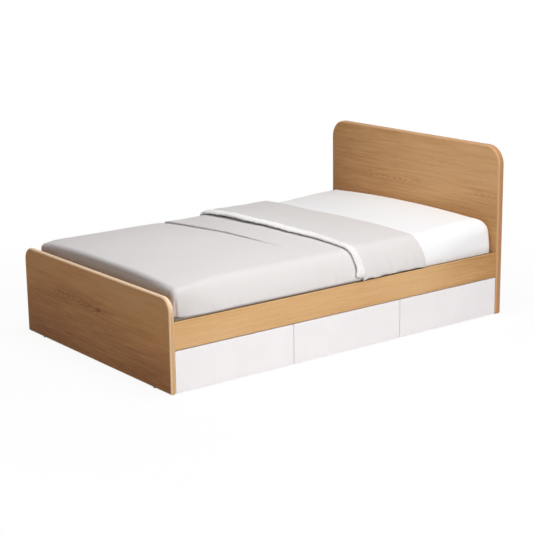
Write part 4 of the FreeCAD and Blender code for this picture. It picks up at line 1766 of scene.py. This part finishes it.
    def lengthwise(self, across: np.ndarray, share_path: np.ndarray) -> np.ndarray:
        """Places along the bed from the tucked foot up to the fold and back to the hem.

        Args:
            across: Flat length from the middle line.
            share_path: Shares from the foot to the hem.

        Returns:
            Flat lengths from the middle of the bed.
        """
        form = self.form
        fold = self.lines.fold(across) - form.middle_y
        hem = self.lines.hem(across) - form.middle_y
        foot = -form.end_span(form.rail_top - self.tuck, -1, across)
        back = np.clip((share_path - self.flap_share) / (1 - self.flap_share), 0, 1)
        return np.where(share_path < self.flap_share, foot + (fold - foot) * self.main_rows(share_path),
                        fold + (hem - fold) * back)

    def main_rows(self, share_path: np.ndarray) -> np.ndarray:
        """Spaces the main layer's rows, closer together at the foot and at the crease."""
        return np.interp(share_path, (*self.row_knots, self.turn_share), (*self.row_shares, 1.0))

    def rise(self, across: np.ndarray, along: np.ndarray) -> np.ndarray:
        """How far the cloth stands off its plain form.

        Args:
            across: Flat length from the middle line.
            along: Flat length from the middle of the bed.

        Returns:
            The height of its folds and bulges.
        """
        return (self.unevenness(across, along) + self.crease(across, along)
                + self.puckers(across, along))

    def unevenness(self, across: np.ndarray, along: np.ndarray) -> np.ndarray:
        """Broad soft waves in the filling, with slanting ones on the turned-back part.

        Args:
            across: Flat length from the middle line.
            along: Flat length from the middle of the bed.

        Returns:
            The waves' height.
        """
        on_flap = hump(*self.flap_place, along) * self.flap_wave.at(across, along)
        return crossed(self.waves, across, along) + crossed(self.ripples, across, along) + on_flap

    def crease(self, across: np.ndarray, along: np.ndarray) -> np.ndarray:
        """The long crease across the top: a soft lip that faces the foot, with a dip before it.

        Args:
            across: Flat length from the middle line.
            along: Flat length from the middle of the bed.

        Returns:
            The crease's height, which fades to the right.
        """
        past, strength = self.past_crease(across, along)
        lip = smooth_step(*self.lip_start, past) * smooth_step(*self.lip_end, past)
        dip = smooth_step(*self.dip_start, past) * smooth_step(*self.dip_end, past)
        return strength * (self.lip_height * lip - self.dip_depth * dip)

    def past_crease(self, across: np.ndarray, along: np.ndarray) -> tuple[np.ndarray, np.ndarray]:
        """How far a place lies past the crease, and how strong the crease is there.

        Args:
            across: Flat length from the middle line.
            along: Flat length from the middle of the bed.

        Returns:
            Lengths towards the head, and shares from 0 to 1.
        """
        past = along - (self.lines.crease(across) - self.form.middle_y)
        return past, np.interp(across, self.crease_across, self.crease_strength)

    def overhang(self, across: np.ndarray, along: np.ndarray) -> np.ndarray:
        """How far the crease's lip leans over the dip before it.

        Args:
            across: Flat length from the middle line.
            along: Flat length from the middle of the bed.

        Returns:
            The lengths towards the foot.
        """
        past, strength = self.past_crease(across, along)
        return self.lean * strength * smooth_step(*self.lean_start, past) * smooth_step(*self.lean_end, past)

    def puckers(self, across: np.ndarray, along: np.ndarray) -> np.ndarray:
        """Small upright folds low on the sides, stronger near the foot and the turned-back part.

        Args:
            across: Flat length from the middle line.
            along: Flat length from the middle of the bed.

        Returns:
            The height of the folds.
        """
        sideways, endways = self.form.beyond(across, along)
        low = smooth_step(*self.pucker_down, sideways) * smooth_step(*self.pucker_end, endways)
        by_flap = self.pucker_flap_strength * hump(*self.pucker_flap, along)
        where = self.pucker_least + hump(*self.pucker_foot, along) + by_flap
        folds = sum(wave.at(across, along) for wave in self.pucker_waves)
        return self.pucker_height * low * where * folds

    def fold_corners(self, places: np.ndarray) -> np.ndarray:
        """Lays an upright fold on the foot face beside the right corner.

        Args:
            places: The cloth's places, one row each.

        Returns:
            The places with the fold.
        """
        form = self.form
        out = places[:, 0]
        face = form.middle_y - form.half_length + form.foot_set_in
        on_face = smooth_step(*self.fold_face, places[:, 1] - face)
        down = smooth_step(*self.fold_down, places[:, 2] - form.top)
        ridge = smooth_step(self.fold_from - self.fold_ease, self.fold_from, out)
        ridge = ridge * np.clip((self.fold_to - out) / (self.fold_to - self.fold_from), 0, 1)
        folded = places.copy()
        folded[:, 1] -= self.fold_depth * ridge * on_face * down
        return folded


@dataclass(frozen=True)
class QuiltHem:
    """The plump white hem along the quilt's turned-back edge."""

    quilt: Quilt
    half_wide: float = 0.026
    half_high: float = 0.0085
    around: int = 22
    rows: int = 190
    end_share: float = 0.007
    toe: float = 0.9
    toe_zone: Range = (0.975, 1.0)
    narrowing: float = 0.22
    narrow_zone: Range = (0.68, 0.82)
    round_power: float = 0.8
    plump_waves: tuple[Wave, Wave] = (Wave(173, 0, height=0.05), Wave(71, 0, 1.2, 0.04))

    def build(self) -> bpy.types.Object:
        """Models and dresses the hem.

        Returns:
            The piece.
        """
        piece, share_around, share_along = grid_piece("hem_roll", self.around, self.rows)
        centre, outward, onward = self.line(share_along)
        turn = 2 * math.pi * share_around
        ends = np.minimum(share_along, 1 - share_along) / self.end_share
        closing = np.sqrt(np.clip(1 - (1 - np.minimum(ends, 1)) ** 2, 0, 1))
        plump = 1 + sum(wave.at(share_along) for wave in self.plump_waves)
        cosine, sine = np.cos(turn), np.sin(turn)
        toe = 1 + self.toe * smooth_step(*self.toe_zone, share_along) * (cosine < 0)
        toe = toe * (1 - self.narrowing * smooth_step(*self.narrow_zone, share_along))
        wide = self.half_wide * closing * plump * toe * np.sign(cosine) * np.abs(cosine) ** self.round_power
        high = self.half_high * closing * plump * np.sign(sine) * np.abs(sine) ** self.round_power
        write_points(piece, centre + onward * wide[:, None] + outward * high[:, None])
        close_seams(piece)
        shade_smooth(piece)
        # The hem's colours: painted light on the left end and painted shade on the right end.
        finish = Pile("hem_plush", light=tone(253, 251, 251), dark=tone(247, 244, 244),
                      shaded_right_light=tone(237, 235, 235), shaded_right_dark=tone(226, 223, 223))
        piece.data.materials.append(finish.material())
        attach(piece, "bed_frame")
        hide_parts("quilt_hem")
        return piece

    def line(self, share: np.ndarray) -> tuple[np.ndarray, np.ndarray, np.ndarray]:
        """Follows the hem's middle over the bed.

        Args:
            share: Shares from the left end to the right one.

        Returns:
            Places, the way out of the bed and the way along the bed, at each of them.
        """
        quilt, form = self.quilt, self.quilt.form
        side = 2 * share - 1
        near = quilt.lines.hem(side * form.half_width) - form.middle_y
        across = side * form.half_span(form.rail_top + self.half_high, np.sign(side), near)
        along = quilt.lines.hem(across) - form.middle_y
        height = quilt.flap_height + quilt.hem_lift(across) + quilt.rise(across, along)
        outward = form.normals(across, along)
        step = form.step
        onward = form.points(across, along + step) - form.points(across, along - step)
        onward = onward / np.linalg.norm(onward, axis=-1, keepdims=True)
        return form.points(across, along, height), outward, onward


def main() -> None:
    """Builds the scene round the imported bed."""
    logging.basicConfig(level=logging.INFO, format="%(message)s")
    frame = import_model()
    solid_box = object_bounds()
    PhotoCamera().build()
    Studio().build(solid_box)
    Carcass().dress(frame)
    form = BeddingForm.from_frame()
    mattress = Mattress(form).build()
    quilt_maker = Quilt(form, QuiltLines())
    quilt = quilt_maker.build()
    hem = QuiltHem(quilt_maker).build()
    for piece in (mattress, quilt, hem):
        log.info("%s has %d faces", piece.name, len(piece.data.polygons))
    scene = bpy.context.scene
    scene.view_settings.view_transform = "Standard"


if __name__ == "__main__":
    main()
